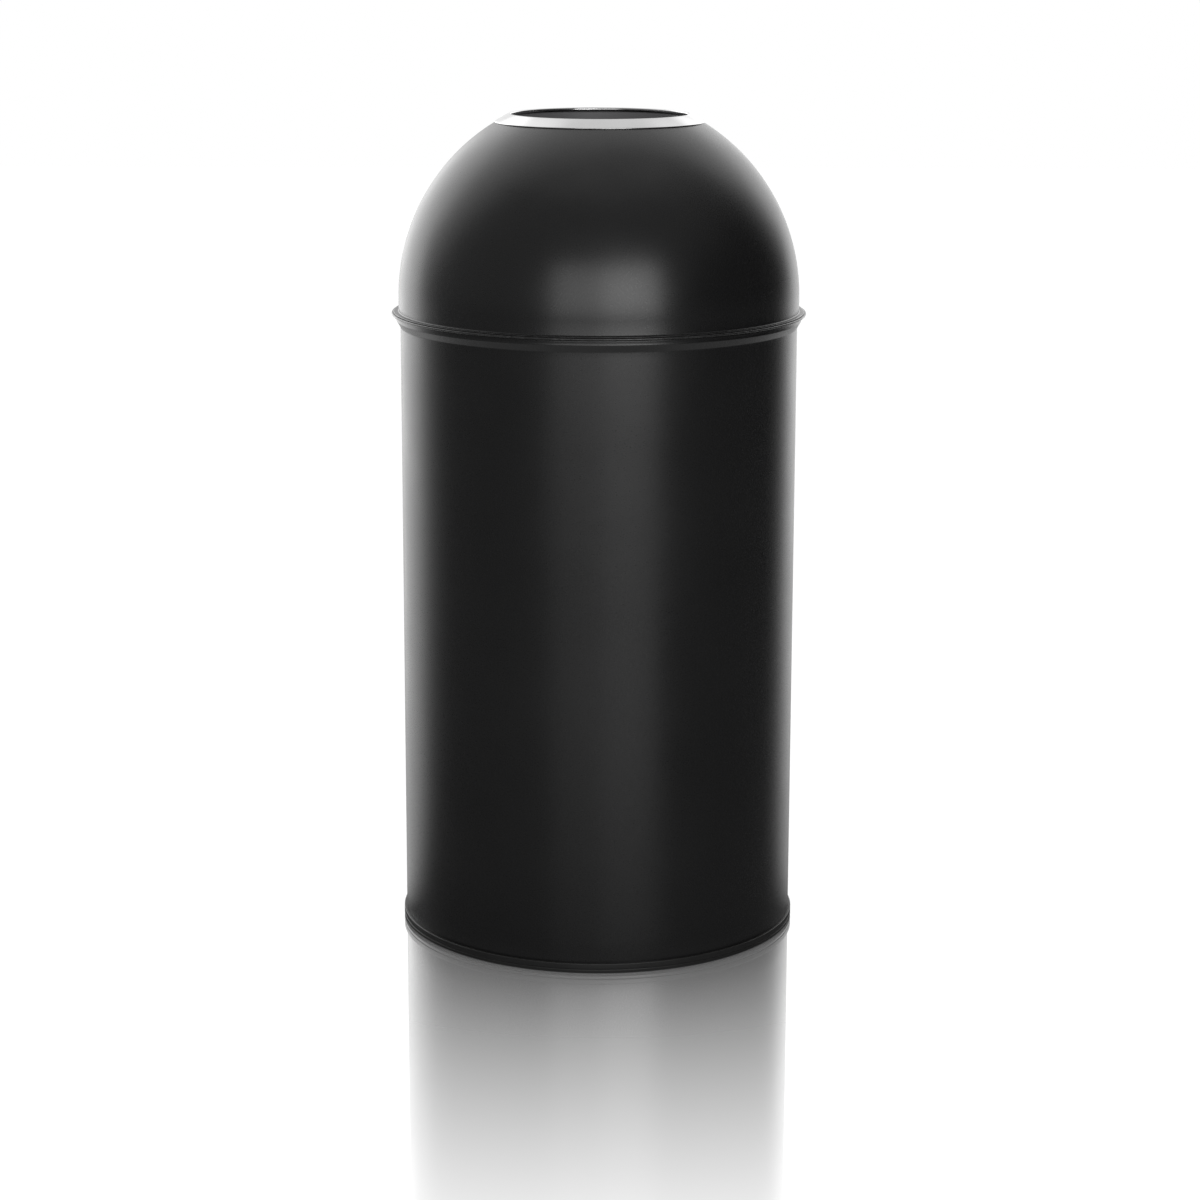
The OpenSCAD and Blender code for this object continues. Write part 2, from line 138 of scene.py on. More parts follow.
def addMix(tree, factor, first, second):
    made = addNode(tree, "ShaderNodeMix", data_type="RGBA")
    colours = [s for s in made.inputs if s.type == "RGBA"]
    for socket, value in zip([made.inputs[0], *colours], (factor, first, second)):
        setInput(tree, socket, value)
    return [s for s in made.outputs if s.type == "RGBA"][0]


def addNoise(tree, vector, scale, detail, roughness=0.5):
    return addNode(tree, "ShaderNodeTexNoise", {
        "Vector": vector, "Scale": scale, "Detail": detail, "Roughness": roughness}).outputs


socketTypes = {float: "NodeSocketFloat", int: "NodeSocketInt", bool: "NodeSocketBool"}


def newGroup(name, kind, ins):
    # an input is given with its starting value, or with its socket type where it has none
    group = bpy.data.node_groups.new(name, kind)
    for label, value in ins.items():
        typeOnly = isinstance(value, str)
        socketType = value if typeOnly else socketTypes[type(value)]
        socket = group.interface.new_socket(name=label, in_out="INPUT", socket_type=socketType)
        if not typeOnly:
            socket.default_value = value
    return group, group.nodes.new("NodeGroupInput").outputs


def endGroup(group, outs, socketType="NodeSocketFloat"):
    for label in outs:
        group.interface.new_socket(name=label, in_out="OUTPUT", socket_type=socketType)
    ends = group.nodes.new("NodeGroupOutput").inputs
    for label, socket in outs.items():
        group.links.new(socket, ends[label])
    return group


# Shared surface effects: each is a shader node group with its own inputs

effectSet = {
    "cloudDetail": 3.0, "cloudRoughness": 0.55,
    "fleckShare": 0.7, "fleckRange": (0.62, 0.78),  # the share is of the grain's size
    "rubbedDetail": 4.0, "rubbedRoughness": 0.65, "rubbedCut": 0.62, "rubbedSoft": 0.08,
    "dustDetail": 6.0, "dustRoughness": 0.7, "dustFacing": (0.25, 0.95), "dustDrift": (0.3, 0.75),
    "lineDetail": 3.0, "lineRoughness": 0.7, "lineLean": 1.37, "streakRange": (0.3, 0.7),
    "crystalBend": 3.5 * mm, "bendDetail": 2.0, "borderWidth": 0.05,
    "fernScale": 260.0, "fernDistortion": 9.0, "fernDetail": 3.0, "fernTone": 0.2, "fernHeight": 0.35,
}


def newEffect(name, ins):
    return newGroup(name, "ShaderNodeTree", {"Vector": "NodeSocketVector", **ins})


def makeCoatTexture(wanted):
    # the fine pimples and long waves of a baked powder coat
    group, given = newEffect("coatTexture", {
        "Grain Size": 0.001, "Grain Depth": 0.6, "Wave Size": 0.02, "Wave Depth": 0.4,
        "Cloud Size": 0.12})

    def noise(size, detail, roughness=0.5):
        return addNoise(group, given["Vector"], inverse(group, size), detail, roughness)[0]

    grain = times(group, noise(given["Grain Size"], 2.0), given["Grain Depth"])
    wave = times(group, noise(given["Wave Size"], 1.0), given["Wave Depth"])
    cloud = noise(given["Cloud Size"], wanted["cloudDetail"], wanted["cloudRoughness"])
    fleckSize = times(group, given["Grain Size"], wanted["fleckShare"])
    fleck = addRange(group, noise(fleckSize, 0.0), *wanted["fleckRange"])
    return endGroup(group, {"Height": plus(group, grain, wave), "Cloud": cloud, "Fleck": fleck})


def makeRubbedRing(wanted):
    # rubbed bare along a round edge, given as its radius and height
    group, given = newEffect("rubbedRing", {
        "Edge Radius": 0.2, "Edge Height": 0.6, "Reach": 0.001, "Patch Size": 0.01, "Amount": 0.5})
    xyz = addNode(group, "ShaderNodeSeparateXYZ", {0: given["Vector"]}).outputs
    across = minus(group, addLength(group, xyz[0], xyz[1]), given["Edge Radius"])
    away = addLength(group, across, minus(group, xyz[2], given["Edge Height"]))
    near = addMath(group, "SUBTRACT", 1.0, addMath(group, "DIVIDE", away, given["Reach"]), clamp=True)
    patches = addNoise(group, given["Vector"], inverse(group, given["Patch Size"]),
                       wanted["rubbedDetail"], wanted["rubbedRoughness"])[0]
    cut = minus(group, 1.0, times(group, given["Amount"], near))
    over = minus(group, patches, times(group, cut, wanted["rubbedCut"]))
    broken = addRange(group, over, 0.0, wanted["rubbedSoft"])
    return endGroup(group, {"Mask": times(group, broken, near)})


def makeSettledDust(wanted):
    # thin dust on faces that look up
    group, given = newEffect("settledDust", {
        "Normal": "NodeSocketVector", "Amount": 0.2, "Patch Size": 0.03})
    up = addNode(group, "ShaderNodeSeparateXYZ", {0: given["Normal"]}).outputs[2]
    facing = addRange(group, up, *wanted["dustFacing"])
    patches = addNoise(group, given["Vector"], inverse(group, given["Patch Size"]),
                       wanted["dustDetail"], wanted["dustRoughness"])[0]
    drift = addRange(group, patches, *wanted["dustDrift"])
    return endGroup(group, {"Mask": times(group, times(group, facing, drift), given["Amount"])})


def makeTurnedLines(wanted):
    # fine lines that run round the axis, as spinning and polishing leave them
    group, given = newEffect("turnedLines", {"Line Pitch": 0.0004, "Line Length": 0.05})
    xyz = addNode(group, "ShaderNodeSeparateXYZ", {0: given["Vector"]}).outputs
    outwards = times(group, addLength(group, xyz[0], xyz[1]), wanted["lineLean"])
    across = times(group, plus(group, xyz[2], outwards), inverse(group, given["Line Pitch"]))
    # the plan vector, shortened to the lines' length, keeps the pattern closed round the axis
    stretch = inverse(group, given["Line Length"])
    around = addVector(group, times(group, xyz[0], stretch), times(group, xyz[1], stretch), across)
    lines = addNoise(group, around, 1.0, wanted["lineDetail"], wanted["lineRoughness"])[0]
    return endGroup(group, {"Height": lines, "Streak": addRange(group, lines, *wanted["streakRange"])})


def makeZincCrystals(wanted):
    # the flat crystals of a hot-dip zinc coat, each at its own slope and brightness
    group, given = newEffect("zincCrystals", {"Crystal Size": 0.012, "Contrast": 0.5})
    scale = inverse(group, given["Crystal Size"])
    bent = addNoise(group, given["Vector"], scale, wanted["bendDetail"])[1]
    shift = addNode(group, "ShaderNodeVectorMath", {0: bent, "Scale": wanted["crystalBend"]},
                    operation="SCALE").outputs[0]
    place = addNode(group, "ShaderNodeVectorMath", {0: given["Vector"], 1: shift},
                    operation="ADD").outputs[0]
    cells = addNode(group, "ShaderNodeTexVoronoi", {
        "Vector": place, "Scale": scale, "Randomness": 1.0}, voronoi_dimensions="3D")
    edges = addNode(group, "ShaderNodeTexVoronoi", {"Vector": place, "Scale": scale},
                    voronoi_dimensions="3D", feature="DISTANCE_TO_EDGE")
    tone = addNode(group, "ShaderNodeSeparateColor", {0: cells.outputs["Color"]}).outputs[0]
    fern = addNode(group, "ShaderNodeTexWave", {
        "Vector": place, "Scale": wanted["fernScale"], "Distortion": wanted["fernDistortion"],
        "Detail": wanted["fernDetail"]}).outputs["Fac"]
    mixed = plus(group, times(group, tone, 1 - wanted["fernTone"]), times(group, fern, wanted["fernTone"]))
    contrasted = plus(group, times(group, minus(group, mixed, 0.5), given["Contrast"]), 0.5)
    height = plus(group, tone, times(group, fern, wanted["fernHeight"]))
    border = addRange(group, edges.outputs["Distance"], 0.0, wanted["borderWidth"], 1.0, 0.0)
    return endGroup(group, {"Tone": contrasted, "Height": height, "Border": border})


effects = {}
for makeEffect in (makeCoatTexture, makeRubbedRing, makeSettledDust, makeTurnedLines, makeZincCrystals):
    effect = makeEffect(effectSet)
    effects[effect.name] = effect


def addEffect(tree, name, place, values):
    given = {"Vector": place["Object"], **values}
    return addNode(tree, "ShaderNodeGroup", given, node_tree=effects[name]).outputs


def newMaterial(name, **shaderValues):
    material = bpy.data.materials.new(name)
    material.use_nodes = True
    tree = material.node_tree
    for key, value in shaderValues.items():
        tree.nodes["Principled BSDF"].inputs[key].default_value = value
    return material, tree, tree.nodes.new("ShaderNodeTexCoord").outputs


def dressMaterial(material, colour, rough, height, wanted):
    tree = material.node_tree
    bump = addNode(tree, "ShaderNodeBump", {
        "Height": height, "Distance": wanted["bumpDistance"], "Strength": wanted["bumpStrength"]})
    shader = tree.nodes["Principled BSDF"]
    for label, socket in (("Base Color", colour), ("Roughness", rough), ("Normal", bump.outputs[0])):
        tree.links.new(socket, shader.inputs[label])
    return material


def grey(level, tint=(1, 1, 1)):
    return (*[level * c for c in tint], 1)


# Finishes

powderSet = {
    "black": 0.007, "tint": (1, 1, 1.03), "cloudShare": 0.16, "cloudRange": (0.3, 0.7),
    "dust": 0.22, "dustTint": (1, 0.97, 0.92), "dustAmount": 0.02,
    "roughness": 0.3, "cloudRoughness": 0.03, "dustRoughness": 0.25, "fleckPolish": 0.06,
    "grainSize": 1.1 * mm, "waveSize": 14 * mm, "cloudSize": 130 * mm,
    "bumpDistance": 0.05 * mm, "bumpStrength": 0.35,
    "steel": 0.33, "rubbedReach": 1.6 * mm, "rubbedPatch": 7 * mm, "wornTone": 0.05, "wornPolish": 0.12,
}


def makePowderBlack(name, wanted, rubbedEdge=None, dustShare=1.0):
    # rubbedEdge is a round edge worn towards bare steel: its radius, its height and the amount
    material, tree, place = newMaterial(name, IOR=1.5)
    coat = addEffect(tree, "coatTexture", place, {
        "Grain Size": wanted["grainSize"], "Wave Size": wanted["waveSize"],
        "Cloud Size": wanted["cloudSize"]})
    dust = addEffect(tree, "settledDust", place, {
        "Normal": place["Normal"], "Amount": wanted["dustAmount"] * dustShare})["Mask"]
    low, high = [grey(wanted["black"] * (1 + k * wanted["cloudShare"]), wanted["tint"]) for k in (-1, 1)]
    colour = addMix(tree, coat["Cloud"], low, high)
    colour = addMix(tree, dust, colour, grey(wanted["dust"], wanted["dustTint"]))
    low, high = [wanted["roughness"] + k * wanted["cloudRoughness"] for k in (-1, 1)]
    rough = addRange(tree, coat["Cloud"], *wanted["cloudRange"], low, high, "LINEAR")
    rough = plus(tree, rough, times(tree, dust, wanted["dustRoughness"]))
    rough = minus(tree, rough, times(tree, coat["Fleck"], wanted["fleckPolish"]))
    if rubbedEdge:
        worn = addEffect(tree, "rubbedRing", place, {
            "Edge Radius": rubbedEdge[0], "Edge Height": rubbedEdge[1], "Amount": rubbedEdge[2],
            "Reach": wanted["rubbedReach"], "Patch Size": wanted["rubbedPatch"]})["Mask"]
        colour = addMix(tree, times(tree, worn, wanted["wornTone"]), colour, grey(wanted["steel"]))
        rough = minus(tree, rough, times(tree, worn, wanted["wornPolish"]))
    return dressMaterial(material, colour, rough, coat["Height"], wanted)


plasticSet = {
    "base": 0.009, "baseRoughness": 0.42, "grip": 0.014, "gripRoughness": 0.6,
    "cloudShares": (0.8, 1.25), "cloudRange": (0.3, 0.7), "cloudRoughness": (-0.05, 0.06),
    "dust": 0.2, "dustTint": (1, 0.96, 0.9), "dustAmount": 0.05,
    "grainSize": 0.55 * mm, "grainDepth": 0.9, "waveSize": 30 * mm, "waveDepth": 0.2,
    "cloudSize": 60 * mm, "bumpDistance": 0.04 * mm, "bumpStrength": 0.4,
}


def makeBlackPlastic(name, wanted, black, roughness):
    material, tree, place = newMaterial(name, IOR=1.47)
    skin = addEffect(tree, "coatTexture", place, {
        "Grain Size": wanted["grainSize"], "Grain Depth": wanted["grainDepth"],
        "Wave Size": wanted["waveSize"], "Wave Depth": wanted["waveDepth"],
        "Cloud Size": wanted["cloudSize"]})
    dust = addEffect(tree, "settledDust", place, {
        "Normal": place["Normal"], "Amount": wanted["dustAmount"]})["Mask"]
    low, high = [grey(black * share) for share in wanted["cloudShares"]]
    colour = addMix(tree, skin["Cloud"], low, high)
    colour = addMix(tree, dust, colour, grey(wanted["dust"], wanted["dustTint"]))
    low, high = [roughness + shift for shift in wanted["cloudRoughness"]]
    rough = addRange(tree, skin["Cloud"], *wanted["cloudRange"], low, high, "LINEAR")
    return dressMaterial(material, colour, rough, skin["Height"], wanted)


brightSet = {
    "light": 0.57, "dark": 0.5, "roughness": 0.11, "roughnessSpread": 0.06, "smearSize": 25 * mm,
    "linePitch": 0.35 * mm, "lineLength": 60 * mm, "bumpDistance": 0.004 * mm, "bumpStrength": 0.35,
}


def makeBrightTrim(name, wanted):
    material, tree, place = newMaterial(name, Metallic=1.0)
    lines = addEffect(tree, "turnedLines", place, {
        "Line Pitch": wanted["linePitch"], "Line Length": wanted["lineLength"]})
    smear = addEffect(tree, "coatTexture", place, {"Cloud Size": wanted["smearSize"]})["Cloud"]
    colour = addMix(tree, smear, grey(wanted["dark"]), grey(wanted["light"]))
    uneven = times(tree, plus(tree, lines["Streak"], smear), wanted["roughnessSpread"])
    rough = plus(tree, uneven, wanted["roughness"])
    return dressMaterial(material, colour, rough, lines["Height"], wanted)


zincSet = {
    "light": 0.62, "lightTint": (0.97, 1, 1.02), "dark": 0.36, "darkTint": (0.96, 0.99, 1.03),
    "crystal": 11 * mm, "smallCrystal": 3.85 * mm, "contrast": 0.9, "border": 0.72,
    "stain": 0.3, "stainTint": (1, 0.99, 0.96), "stainAmount": 0.4, "stainSize": 90 * mm,
    "roughness": 0.3, "roughnessSpread": 0.2, "toneRange": (0.1, 0.9), "stainRoughness": 0.12,
    "bumpDistance": 0.03 * mm, "bumpStrength": 0.25,
}


def makeZinc(name, wanted, crystal):
    material, tree, place = newMaterial(name, Metallic=1.0)
    zinc = addEffect(tree, "zincCrystals", place, {
        "Crystal Size": crystal, "Contrast": wanted["contrast"]})
    stain = addEffect(tree, "coatTexture", place, {"Cloud Size": wanted["stainSize"]})["Cloud"]
    low, high = [grey(wanted[key], wanted[key + "Tint"]) for key in ("dark", "light")]
    colour = addMix(tree, zinc["Tone"], low, high)
    colour = addMix(tree, zinc["Border"], colour, grey(wanted["light"] * wanted["border"]))
    colour = addMix(tree, times(tree, stain, wanted["stainAmount"]), colour,
                    grey(wanted["stain"], wanted["stainTint"]))
    rough = addRange(tree, zinc["Tone"], *wanted["toneRange"],
                     wanted["roughness"] + wanted["roughnessSpread"], wanted["roughness"], "LINEAR")
    rough = plus(tree, rough, times(tree, stain, wanted["stainRoughness"]))
    return dressMaterial(material, colour, rough, zinc["Height"], wanted)


wireSet = {
    "light": 0.5, "lightTint": (1, 1, 1.02), "dark": 0.38, "roughness": 0.3, "roughnessSpread": 0.2,
    "cloudRange": (0.25, 0.75), "grainSize": 0.5 * mm, "waveSize": 4 * mm, "cloudSize": 18 * mm,
    "bumpDistance": 0.02 * mm, "bumpStrength": 0.4,
}


def makeWire(name, wanted):
    material, tree, place = newMaterial(name, Metallic=1.0)
    skin = addEffect(tree, "coatTexture", place, {
        "Grain Size": wanted["grainSize"], "Wave Size": wanted["waveSize"],
        "Cloud Size": wanted["cloudSize"]})
    colour = addMix(tree, skin["Cloud"], grey(wanted["dark"]), grey(wanted["light"], wanted["lightTint"]))
    rough = addRange(tree, skin["Cloud"], *wanted["cloudRange"], wanted["roughness"],
                     wanted["roughness"] + wanted["roughnessSpread"], "LINEAR")
    return dressMaterial(material, colour, rough, skin["Height"], wanted)


# Shapes: a section is a closed loop of (radius, height) points, a path an open one

def arcPoints(centre, radius, startDeg, endDeg, stepDeg=12):
    count = max(2, math.ceil(abs(endDeg - startDeg) / stepDeg))
    angles = [math.radians(startDeg + (endDeg - startDeg) * i / count) for i in range(count + 1)]
    return [(centre[0] + radius * math.cos(a), centre[1] + radius * math.sin(a)) for a in angles]


def bentPath(corners, stepDeg=12):
    # corners are (radius, height) or (radius, height, bend); a bend rounds its corner
    path = [tuple(corners[0][:2])]
    for before, corner, after in zip(corners, corners[1:], corners[2:]):
        here = Vector(corner[:2])
        if len(corner) < 3:
            path.append(tuple(here))
            continue
        back = (Vector(before[:2]) - here).normalized()
        ahead = (Vector(after[:2]) - here).normalized()
        half = back.angle(ahead) / 2
        centre = here + (back + ahead).normalized() * corner[2] / math.sin(half)
        start = here + back * corner[2] / math.tan(half) - centre
        end = here + ahead * corner[2] / math.tan(half) - centre
        startDeg = math.degrees(math.atan2(start.y, start.x))
        turn = (math.degrees(math.atan2(end.y, end.x)) - startDeg + 180) % 360 - 180
        path += arcPoints(centre, corner[2], startDeg, startDeg + turn, stepDeg)
    path.append(tuple(corners[-1][:2]))
    return path


def sheetSection(path, thickness):
    # the closed outline of a sheet that follows path at mid thickness, with round ends
    points = [Vector(path[0])]
    points += [Vector(b) for a, b in zip(path, path[1:]) if (Vector(b) - Vector(a)).length > 1e-7]
    sides = ([], [])
    for i, point in enumerate(points):
        back = (point - points[i - 1]).normalized() if i > 0 else None
        ahead = (points[i + 1] - point).normalized() if i < len(points) - 1 else None
        along = ((back or ahead) + (ahead or back)).normalized()
        normal = Vector((-along.y, along.x))
        spread = 1 / max(0.5, along.dot(ahead or back))
        for side, sign in zip(sides, (1, -1)):
            side.append(tuple(point + normal * sign * spread * thickness / 2))
    caps = []
    for end, inner in ((points[-1], points[-2]), (points[0], points[1])):
        out = (end - inner).normalized()
        outDeg = math.degrees(math.atan2(out.y, out.x))
        caps.append(arcPoints(end, thickness / 2, outDeg + 90, outDeg - 90, 36)[1:-1])
    return sides[0] + caps[0] + sides[1][::-1] + caps[1]


def newCurve(name, points, cyclic):
    data = bpy.data.curves.new(name, "CURVE")
    data.dimensions = "3D"
    spline = data.splines.new("POLY")
    spline.points.add(len(points) - 1)
    for made, point in zip(spline.points, points):
        made.co = (*point, 1)
    spline.use_cyclic_u = cyclic
    return newObject(name, data)


def newGrower(name, ins):
    return newGroup(name, "GeometryNodeTree", {
        "Geometry": "NodeSocketGeometry", **ins, "Finish": "NodeSocketMaterial"})


def endGrower(group, given, shape):
    real = addNode(group, "GeometryNodeRealizeInstances", {0: shape}).outputs[0]
    done = addNode(group, "GeometryNodeSetMaterial", {"Geometry": real, "Material": given["Finish"]})
    return endGroup(group, {"Geometry": done.outputs[0]}, "NodeSocketGeometry")


def addCopies(group, given, count, place, turn):
    # copies of Piece, each with its own place and turn
    points = addNode(group, "GeometryNodeMeshLine", {"Count": count}).outputs[0]
    placed = addNode(group, "GeometryNodeSetPosition", {"Geometry": points, "Position": place}).outputs[0]
    piece = addNode(group, "GeometryNodeObjectInfo", {"Object": given["Piece"]}).outputs["Geometry"]
    return addNode(group, "GeometryNodeInstanceOnPoints", {
        "Points": placed, "Instance": piece, "Rotation": turn}).outputs[0]


def addRandom(group, seed):
    return addNode(group, "FunctionNodeRandomValue", {2: -1.0, 3: 1.0, "Seed": seed},
                   data_type="FLOAT").outputs[1]


def makeSweptSection():
    # the object's own curve is the path; Section is swept along it
    group, given = newGrower("sweptSection", {"Section": "NodeSocketObject", "Closed Ends": True})
    section = addNode(group, "GeometryNodeObjectInfo", {"Object": given["Section"]}).outputs["Geometry"]
    swept = addNode(group, "GeometryNodeCurveToMesh", {
        "Curve": given["Geometry"], "Profile Curve": section, "Fill Caps": given["Closed Ends"]})
    return endGrower(group, given, swept.outputs[0])


def makeRowsOnDrum():
    # copies of Piece in columns and rows on a drum round the Z axis, each facing out
    group, given = newGrower("rowsOnDrum", {
        "Piece": "NodeSocketObject", "Columns": 16, "Rows": 1, "Drum Radius": 0.1, "Low Row": 0.0,
        "Row Pitch": 0.02, "First Angle": 0.0, "Column Angle": 0.1, "Scatter": 0.0, "Seed": 7})
    index = addNode(group, "GeometryNodeInputIndex").outputs[0]
    row = addMath(group, "FLOOR", addMath(group, "DIVIDE", plus(group, index, 0.5), given["Columns"]))
    column = minus(group, index, times(group, row, given["Columns"]))

    def scattered(seedShift):
        seed = plus(group, given["Seed"], seedShift)
        return times(group, addRandom(group, seed), given["Scatter"])

    angle = plus(group, given["First Angle"], times(group, column, given["Column Angle"]))
    angle = plus(group, angle, addMath(group, "DIVIDE", scattered(0), given["Drum Radius"]))
    height = plus(group, given["Low Row"], times(group, row, given["Row Pitch"]))
    height = plus(group, height, scattered(1))
    x, y = [times(group, addMath(group, way, angle), given["Drum Radius"]) for way in ("COSINE", "SINE")]
    copies = addCopies(group, given, times(group, given["Columns"], given["Rows"]),
                       addVector(group, x, y, height), addVector(group, z=angle))
    return endGrower(group, given, copies)


def makeRingOnDome():
    # copies of Piece round the Z axis, each leaning out by Tilt from a common centre
    group, given = newGrower("ringOnDome", {
        "Piece": "NodeSocketObject", "Count": 4, "Centre Height": 0.6, "Tilt": 0.5, "Seed": 3,
        "Own Turn": 0.0})
    index = addNode(group, "GeometryNodeInputIndex").outputs[0]
    step = addMath(group, "DIVIDE", 2 * math.pi, given["Count"])
    angle = times(group, plus(group, index, 0.5), step)
    copies = addCopies(group, given, given["Count"], addVector(group, z=given["Centre Height"]),
                       addVector(group, y=given["Tilt"], z=angle))
    own = addVector(group, z=times(group, addRandom(group, given["Seed"]), given["Own Turn"]))
    spun = addNode(group, "GeometryNodeRotateInstances", {"Instances": copies, "Rotation": own})
    return endGrower(group, given, spun.outputs[0])


growers = {g.name: g for g in (makeSweptSection(), makeRowsOnDrum(), makeRingOnDome())}


def grow(base, growerName, values):
    # runs a geometry tree on base and gives the result as a plain mesh
    tree = growers[growerName]
    names = {s.name: s.identifier for s in tree.interface.items_tree if s.in_out == "INPUT"}
    modifier = base.modifiers.new(growerName, "NODES")
    modifier.node_group = tree
    for key, value in values.items():
        modifier[names[key]] = value
    graph = bpy.context.evaluated_depsgraph_get()
    mesh = bpy.data.meshes.new_from_object(base.evaluated_get(graph), depsgraph=graph)
    base.modifiers.remove(modifier)
    return mesh


def dropHelpers(*helpers):
    for helper in helpers:
        bpy.data.objects.remove(helper)


def meshOf(name, work):
    mesh = bpy.data.meshes.new(name)
    work.to_mesh(mesh)
    work.free()
    return mesh


def closeMesh(mesh, sharpDeg=38):
    # joins what touches and shades smooth up to an angle
    work = bmesh.new()
    work.from_mesh(mesh)
    bmesh.ops.remove_doubles(work, verts=work.verts, dist=1e-6)
    bmesh.ops.dissolve_degenerate(work, edges=work.edges, dist=1e-7)
    loose = [e for e in work.edges if not e.link_faces]
    bmesh.ops.delete(work, geom=loose, context="EDGES")
    bmesh.ops.recalc_face_normals(work, faces=work.faces)
    limit = math.radians(sharpDeg)
    for face in work.faces:
        face.smooth = True
    for edge in work.edges:
        edge.smooth = edge.is_manifold and edge.calc_face_angle(0) < limit
    work.to_mesh(mesh)
    work.free()
    return mesh


def setFinish(mesh, material):
    mesh.materials.clear()
    mesh.materials.append(material)


def newPiece(name, mesh, body, material=None, replaces=()):
    piece = newObject(name, mesh)
    if material is not None:
        setFinish(mesh, material)
    if replaces:
        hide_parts(*replaces)
    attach(piece, body)


def sweptMesh(route, closed, outline, finish):
    # a swept section is drawn outwards along X and downwards along Y
    path = newCurve("path", route, closed)
    section = newCurve("section", [(x, -y, 0) for x, y in outline], True)
    mesh = grow(path, "sweptSection", {"Section": section, "Finish": finish})
    dropHelpers(path, section)
    return closeMesh(mesh)


turnSteps = 288
hubRadius = 0.05


def turnedMesh(section, finish, angles=None, steps=turnSteps):
    # a section swept round the Z axis, on a circle of hubRadius
    angles = angles or [2 * math.pi * i / steps for i in range(steps)]
    circle = [(hubRadius * math.cos(a), hubRadius * math.sin(a), 0) for a in angles]
    return sweptMesh(circle, True, [(r - hubRadius, z) for r, z in section], finish)


def growCopies(growerName, shape, finish, values, sharpDeg=38):
    piece = newObject("shape", shape)
    base = newObject("base", bpy.data.meshes.new("base"))
    mesh = grow(base, growerName, {"Piece": piece, "Finish": finish, **values})
    dropHelpers(piece, base)
    return closeMesh(mesh, sharpDeg)


def addStrips(work, rings):
    # faces between each ring of vertices and the next
    for first, second in zip(rings, rings[1:]):
        for i in range(len(first)):
            work.faces.new((first[i - 1], first[i], second[i], second[i - 1]))


# Body

bodyLow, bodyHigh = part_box("body_shell")
bodySet = {
    "sheet": 0.9 * mm, "flareOut": 3.9 * mm, "flareHeight": 6.7 * mm, "strip": 3.4 * mm,
    "bead": 2.4 * mm, "curlEndDeg": 283, "flareBend": 3 * mm, "neckBend": 1.2 * mm,
    "neckEdge": 1 * mm, "neckEdgeOut": 0.13 * mm, "wallStep": 30 * mm,
    "seamWidth": 0.5 * mm, "seamDepth": 0.25 * mm,
    "seamLines": (0.5, 1, 1.6, 3, 6), "seamFloor": 0.7, "seamEdge": 0.9,  # shares of half its width
    "seamEdgeDepth": 0.4,  # share of its depth
}
wallRadius = bodyHigh.x - bodySet["flareOut"]
beadPlace = (bodyHigh.x - bodySet["bead"], bodyHigh.z - bodySet["bead"])
wallTop = beadPlace[1] - bodySet["strip"] - bodySet["flareHeight"]

skirtLow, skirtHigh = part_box("locating_skirt")
domeLow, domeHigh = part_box("dome_shell")
lidSet = {
    "sheet": 0.9 * mm, "nestGap": 0.1 * mm, "overhang": 1.6 * mm, "bend": 1.2 * mm, "foot": 12.6 * mm,
    "domeStepDeg": 1.25,
}
lidRadius = wallRadius + lidSet["overhang"]
flangeTop = domeLow.z + lidSet["sheet"]
bendPlace = (lidRadius + lidSet["bend"], flangeTop + lidSet["bend"])
domeHeight = bendPlace[1] + lidSet["foot"]
skirtSet = {
    "sheet": 0.9 * mm, "radius": 188.3 * mm, "hemIn": 1.5 * mm, "hemHeight": 4 * mm, "hemBend": 3 * mm,
    "topBend": 1.2 * mm, "lip": 1.05 * mm, "lipLeg": 1 * mm, "welds": 20, "weldPlace": 194.9 * mm,
    "weldRadius": 1.6 * mm, "weldDepth": 0.2 * mm, "weldSeed": 11,
}
lipPlace = (skirtHigh.x - skirtSet["lip"], skirtHigh.z - skirtSet["lip"])
collarPaintedLightPowder = {**powderSet, "black": 0.12, "roughness": 0.5}  # the collar's black is painted paler as painted light, standing in for light that the shaded inside of the opening does not get; it is also duller

bodyBlack = makePowderBlack("powderBlackBody", powderSet, (beadPlace[0], bodyHigh.z, 0.5), 0.4)
lidBlack = makePowderBlack("powderBlackLid", powderSet, (domeHigh.x, flangeTop, 0.3))
skirtBlack = makePowderBlack("powderBlackSkirt", powderSet, (skirtHigh.x, lipPlace[1], 0.3), 0.5)
innerBlack = makePowderBlack("powderBlackInner", powderSet, dustShare=0.8)
# painted light: a paler black that makes the shaded throat of the opening read as lit grey
collarPaintedLightBlack = makePowderBlack("powderBlackCollarPaintedLight", collarPaintedLightPowder, dustShare=0.8)
baseBlack = makeBlackPlastic("basePlastic", plasticSet, plasticSet["base"], plasticSet["baseRoughness"])
gripBlack = makeBlackPlastic("gripPlastic", plasticSet, plasticSet["grip"], plasticSet["gripRoughness"])
brightTrim = makeBrightTrim("brightTrim", brightSet)
zincSheet = makeZinc("zincSheet", zincSet, zincSet["crystal"])
zincSmall = makeZinc("zincSmall", zincSet, zincSet["smallCrystal"])
plainWire = makeWire("plainWire", wireSet)
print("finishes made")


